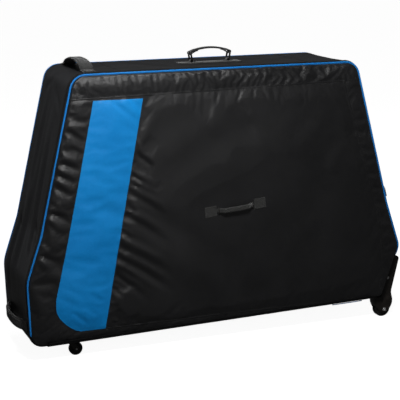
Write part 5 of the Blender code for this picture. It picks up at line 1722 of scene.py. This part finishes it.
def makeHousing(word):
    # the moulded fender and leg with crowned faces, open below for the wheel, and a raised
    # ring round the axle
    node = word + "_wheel_housing"
    low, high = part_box(node)
    rise = sum(step[1] for step in housing["crown"])
    piece = plateFrom(word + "WheelHousing", housingOutline(), low[1] + rise, high[1] - rise)
    insetFaces(piece, lambda normal: abs(normal.y) > 0.95, housing["crown"], False)
    axle = middleOf(word + "_axle")
    well = wheel["radius"] + housing["wellGap"]
    wide = wheel["width"] + 2 * housing["wellGap"]
    lie, below = (math.pi / 2, 0.0, 0.0), (axle[0], axle[1], 0.0)
    bpy.ops.mesh.primitive_cylinder_add(vertices=48, radius=well, depth=wide, location=axle, rotation=lie)
    carve(piece)
    bpy.ops.mesh.primitive_cube_add(size=1.0, location=below, scale=(2 * well, wide, 2 * axle[2]))
    carve(piece)
    bore = housing["bore"]
    bpy.ops.mesh.primitive_cylinder_add(vertices=32, radius=bore, depth=0.08, location=axle, rotation=lie)
    carve(piece)
    fitOut(piece, node, 40.0)
    for tag, face, sign in (("Outer", low[1], -1.0), ("Inner", high[1], 1.0)):
        profile = [(radius, sign * depth) for radius, depth in housing["ring"]]
        ring = turned(word + "AxleRing" + tag, profile, (axle[0], face, axle[2]), 40)
        settle(ring, "bag", "plastic", smoothAngle=40.0)


def makeWheels():
    for word in ("near", "far"):
        makeHousing(word)
        turnedPart(word + "_tyre", word + "Tyre", tyreProfile(), 64, 40.0)
        centre = middleOf(word + "_tyre")
        fitOut(turned(word + "Hub", hubProfile(), centre, 48), word + "_hub", 30.0)
        for tag, sign in (("Front", -1.0), ("Back", 1.0)):
            spokeSet(word + "HubRibs" + tag, centre, word + "_wheel", sign)
        bolt = boltProfile(word + "_axle", wheel["axleHead"], wheel["headHigh"], wheel["shank"])
        turnedPart(word + "_axle", word + "Axle", bolt, 28)
        makeScrew(word)


def makeScrew(word):
    node = word + "_housing_screw"
    low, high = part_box(node)
    sign = -1.0 if word == "near" else 1.0
    radius, half = wheel["screwHead"], (high[1] - low[1]) / 2
    profile = [(0.0, -half), (radius, -half), (radius, -half * 0.2), (radius * 0.8, half * 0.6),
               (radius * 0.5, half), (radius * 0.36, half), (radius * 0.32, 0.0), (0.0, 0.0)]
    turnedPart(node, word + "HousingScrew", [(r, sign * d) for r, d in profile], 28)


def casterProfile():
    radius, half, shoulder = caster["radius"], caster["width"] / 2, caster["shoulder"]
    points = arcProfile(radius - shoulder, half - shoulder, shoulder, 90.0, 0.0, 7)
    points += arcProfile(radius - shoulder, -half + shoulder, shoulder, 0.0, -90.0, 7)
    flank = [(radius * 0.72, half), (radius * 0.68, half * 0.80), (radius * 0.40, half * 0.80),
             (radius * 0.36, half), (caster["bore"] + 0.0003, half), (caster["bore"], half - 0.0003)]
    return points + [(r, -d) for r, d in flank] + list(reversed(flank))


def makeCasters():
    for word in ("near", "far"):
        start = word + "_caster_"
        refine(start + "plate", 0.0007)
        refine(start + "fork", 0.0006)
        turnedPart(start + "wheel", word + "CasterRoller", casterProfile(), 48, 40.0)
        pin = boltProfile(start + "axle", caster["pinHead"], caster["pinHigh"], caster["pin"])
        turnedPart(start + "axle", word + "CasterPin", pin, 24)


makeWheels()
makeCasters()
refine("zip_slider", 0.0007)
refine("zip_pull", 0.0006)
print("wheels, casters and slider made")


# Inside: foam boards, wheel pockets, and the hardware that carries the bike

lining = {
    "foamInset": 0.0066, "foamOuter": 0.1404, "foamInner": 0.1327, "foamSpacing": 0.011, "quilt": 0.075,
    "channel": 0.0016, "channelWide": 0.006, "pocketWall": 0.0010, "leastHalf": 0.012,
    "binding": (0.012, 0.0016),
}


def makeFoam(word, sign):
    # a foam board under a scrim, pressed by crossing quilt lines on its inner face
    piece, places = panelGrid(word + "FoamBoard", lining["foamInset"], lining["foamSpacing"], sign < 0)
    fromEdge = distanceToLine(places, outlineLoop(lining["foamInset"]), closed=True)
    pitch = lining["quilt"] * math.sqrt(2.0)
    channels = np.zeros(len(places))
    for across in (places[:, 0] + places[:, 1], places[:, 0] - places[:, 1]):
        off = (across / pitch + 0.5) % 1.0 - 0.5
        channels = np.maximum(channels, np.exp(-(off * pitch / lining["channelWide"]) ** 2))
    wall = lining["foamOuter"] - lining["foamInner"]
    edge = 0.0018 * (1.0 - smooth(fromEdge / 0.007))
    depth = lining["foamInner"] + lining["channel"] * channels * smooth(fromEdge / 0.02) + edge
    setPlaces(piece, inSpace(places, sign * depth))
    writeClothMap(piece, places[:, 0], places[:, 1])
    thicken(piece, wall - lining["channel"] - 0.0006)
    node = word + "_foam_board"
    settle(piece, frame["nodes"][node]["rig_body"], "foam", [node])


def makePocket(word, sign):
    # a round-bottomed net pocket with a binding round its edge
    node = word + "_wheel_pocket"
    low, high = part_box(node)
    radius, top = (high[0] - low[0]) / 2, high[2]
    middleZ = low[2] + radius
    piece, a, b = gridPiece(word + "WheelPocket", 56, 44)
    z = low[2] + (top - low[2]) * (0.6 * b + 0.4 * (1.0 - np.cos(b * math.pi / 2)))
    half = np.where(z < middleZ, np.sqrt(np.maximum(radius ** 2 - (z - middleZ) ** 2, 0.0)), radius)
    x = (a * 2.0 - 1.0) * np.maximum(half, lining["leastHalf"])
    flat = np.stack([x, z], axis=1)
    face = abs(low[1] + high[1]) / 2
    depth = face - 0.0003 * np.abs(swell(flat, 9.0, 51)) + 0.0002 * np.cos(x * 60.0)
    setPlaces(piece, np.stack([x * sign, sign * depth, z], axis=1))
    writeClothMap(piece, x, z)
    faceTowards(piece, (0.0, -sign, 0.0))
    thicken(piece, lining["pocketWall"])
    body = frame["nodes"][node]["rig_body"]
    settle(piece, body, "net", [node])
    turns = np.linspace(math.pi, 2 * math.pi, 60)
    rim = [(-radius, top)] + [(radius * math.cos(t), middleZ + radius * math.sin(t)) for t in turns]
    rim = spacedPath(rim + [(radius, top), (-radius, top)], 0.008)[:-1]
    line = inSpace(rim, sign * (face - 0.0002))
    sideways = np.cross(np.gradient(line, axis=0), (0.0, 1.0, 0.0))
    section = tapeSection(*lining["binding"], 5)
    tape = sweepPiece(word + "PocketBinding", line, section, sideways, closed=True)
    settle(tape, body, "strap", smoothAngle=50.0)


def makeInside():
    for word, sign in (("near", -1.0), ("far", 1.0)):
        makeFoam(word, sign)
        makePocket(word, sign)
    # fields are sunk into the tops as (width, rise)
    refine("base_board", 0.0010, 3, (0.010, -0.0006))
    refine("frame_rail", 0.0007, 2, (0.0100, -0.0030))
    for word in ("fork", "rear"):
        refine(word + "_carriage", 0.0009)
        refine(word + "_dummy_hub", 0.0008)
        refine(word + "_lever", 0.0014)
    refine("bracket_carriage", 0.0009)
    refine("bracket_pad", 0.0014, 4, (0.006, -0.0004))


makeInside()
print("lining and hardware made")


# Camera, light and floor

view = {"place": (-1.42485, -3.52284, 1.27315), "turn": (77.2955, 0.0, -21.8046), "lens": 111.985}
studio = {
    "backdrop": 1.0,
    "skyLight": 0.05,
    "floorSize": 60.0,
    "floorGlow": 0.94,
    "lamps": (  # name, place, size, watts
        ("keyLamp", (-0.48, -1.32, 1.85), 0.40, 34.0),
        ("topLamp", (-0.3, 0.2, 3.0), 1.2, 4.0),
        ("frontLamp", (0.04, -1.16, 0.60), 0.35, 0.55),
        ("sideLamp", (2.6, -2.8, 1.2), 1.0, 1.0),
    ),
}


def makeCamera():
    turn = [math.radians(angle) for angle in view["turn"]]
    bpy.ops.object.camera_add(location=view["place"], rotation=turn)
    camera = newest("photoCamera")
    camera.data.lens = view["lens"]
    camera.data.sensor_width = 36.0
    bpy.context.scene.camera = camera


def makeLamps():
    target = Vector((0.0, 0.0, 0.45))
    for name, place, size, watts in studio["lamps"]:
        aim = (target - Vector(place)).to_track_quat("-Z", "Y").to_euler()
        bpy.ops.object.light_add(type="AREA", location=place, rotation=aim)
        lamp = newest(name)
        lamp.data.shape = "SQUARE"
        lamp.data.size = size
        lamp.data.energy = watts
        lamp.visible_camera = False


def makeFloor():
    # pale and evenly lit, and no mirror for the bag
    bpy.ops.mesh.primitive_plane_add(size=studio["floorSize"], location=(0.0, 0.0, 0.0))
    floor = newest("studioFloor")
    paint = Paint("paleFloor", {"Roughness": 0.95, "Specular IOR Level": 0.0,
                                "Emission Strength": studio["floorGlow"],
                                "Emission Color": (1.0, 1.0, 1.0, 1.0)})
    tone = paint.noise(paint.objectPlace(), 3.0)
    floor.data.materials.append(paint.finish(paint.mix(tone, (0.78, 0.78, 0.78), (0.82, 0.82, 0.82))))
    floor.visible_glossy = False
    floor.visible_diffuse = False


def makeSky():
    # a white backdrop, and a dimmer light of the same white on the bag
    sky = bpy.data.worlds.new("softSky")
    sky.use_nodes = True
    tree = sky.node_tree
    rays = tree.nodes.new("ShaderNodeLightPath")
    share = tree.nodes.new("ShaderNodeMixShader")
    tree.links.new(rays.outputs["Is Camera Ray"], share.inputs[0])
    glows = (tree.nodes["Background"], tree.nodes.new("ShaderNodeBackground"))
    for index, (glow, strength) in enumerate(zip(glows, (studio["skyLight"], studio["backdrop"]))):
        glow.inputs["Color"].default_value = (1.0, 1.0, 1.0, 1.0)
        glow.inputs["Strength"].default_value = strength
        tree.links.new(glow.outputs[0], share.inputs[1 + index])
    tree.links.new(share.outputs[0], tree.nodes["World Output"].inputs["Surface"])
    bpy.context.scene.world = sky
    bpy.context.scene.view_settings.view_transform = "Standard"


makeCamera()
makeLamps()
makeFloor()
makeSky()
print("camera, light and floor ready")

bpy.context.view_layer.update()
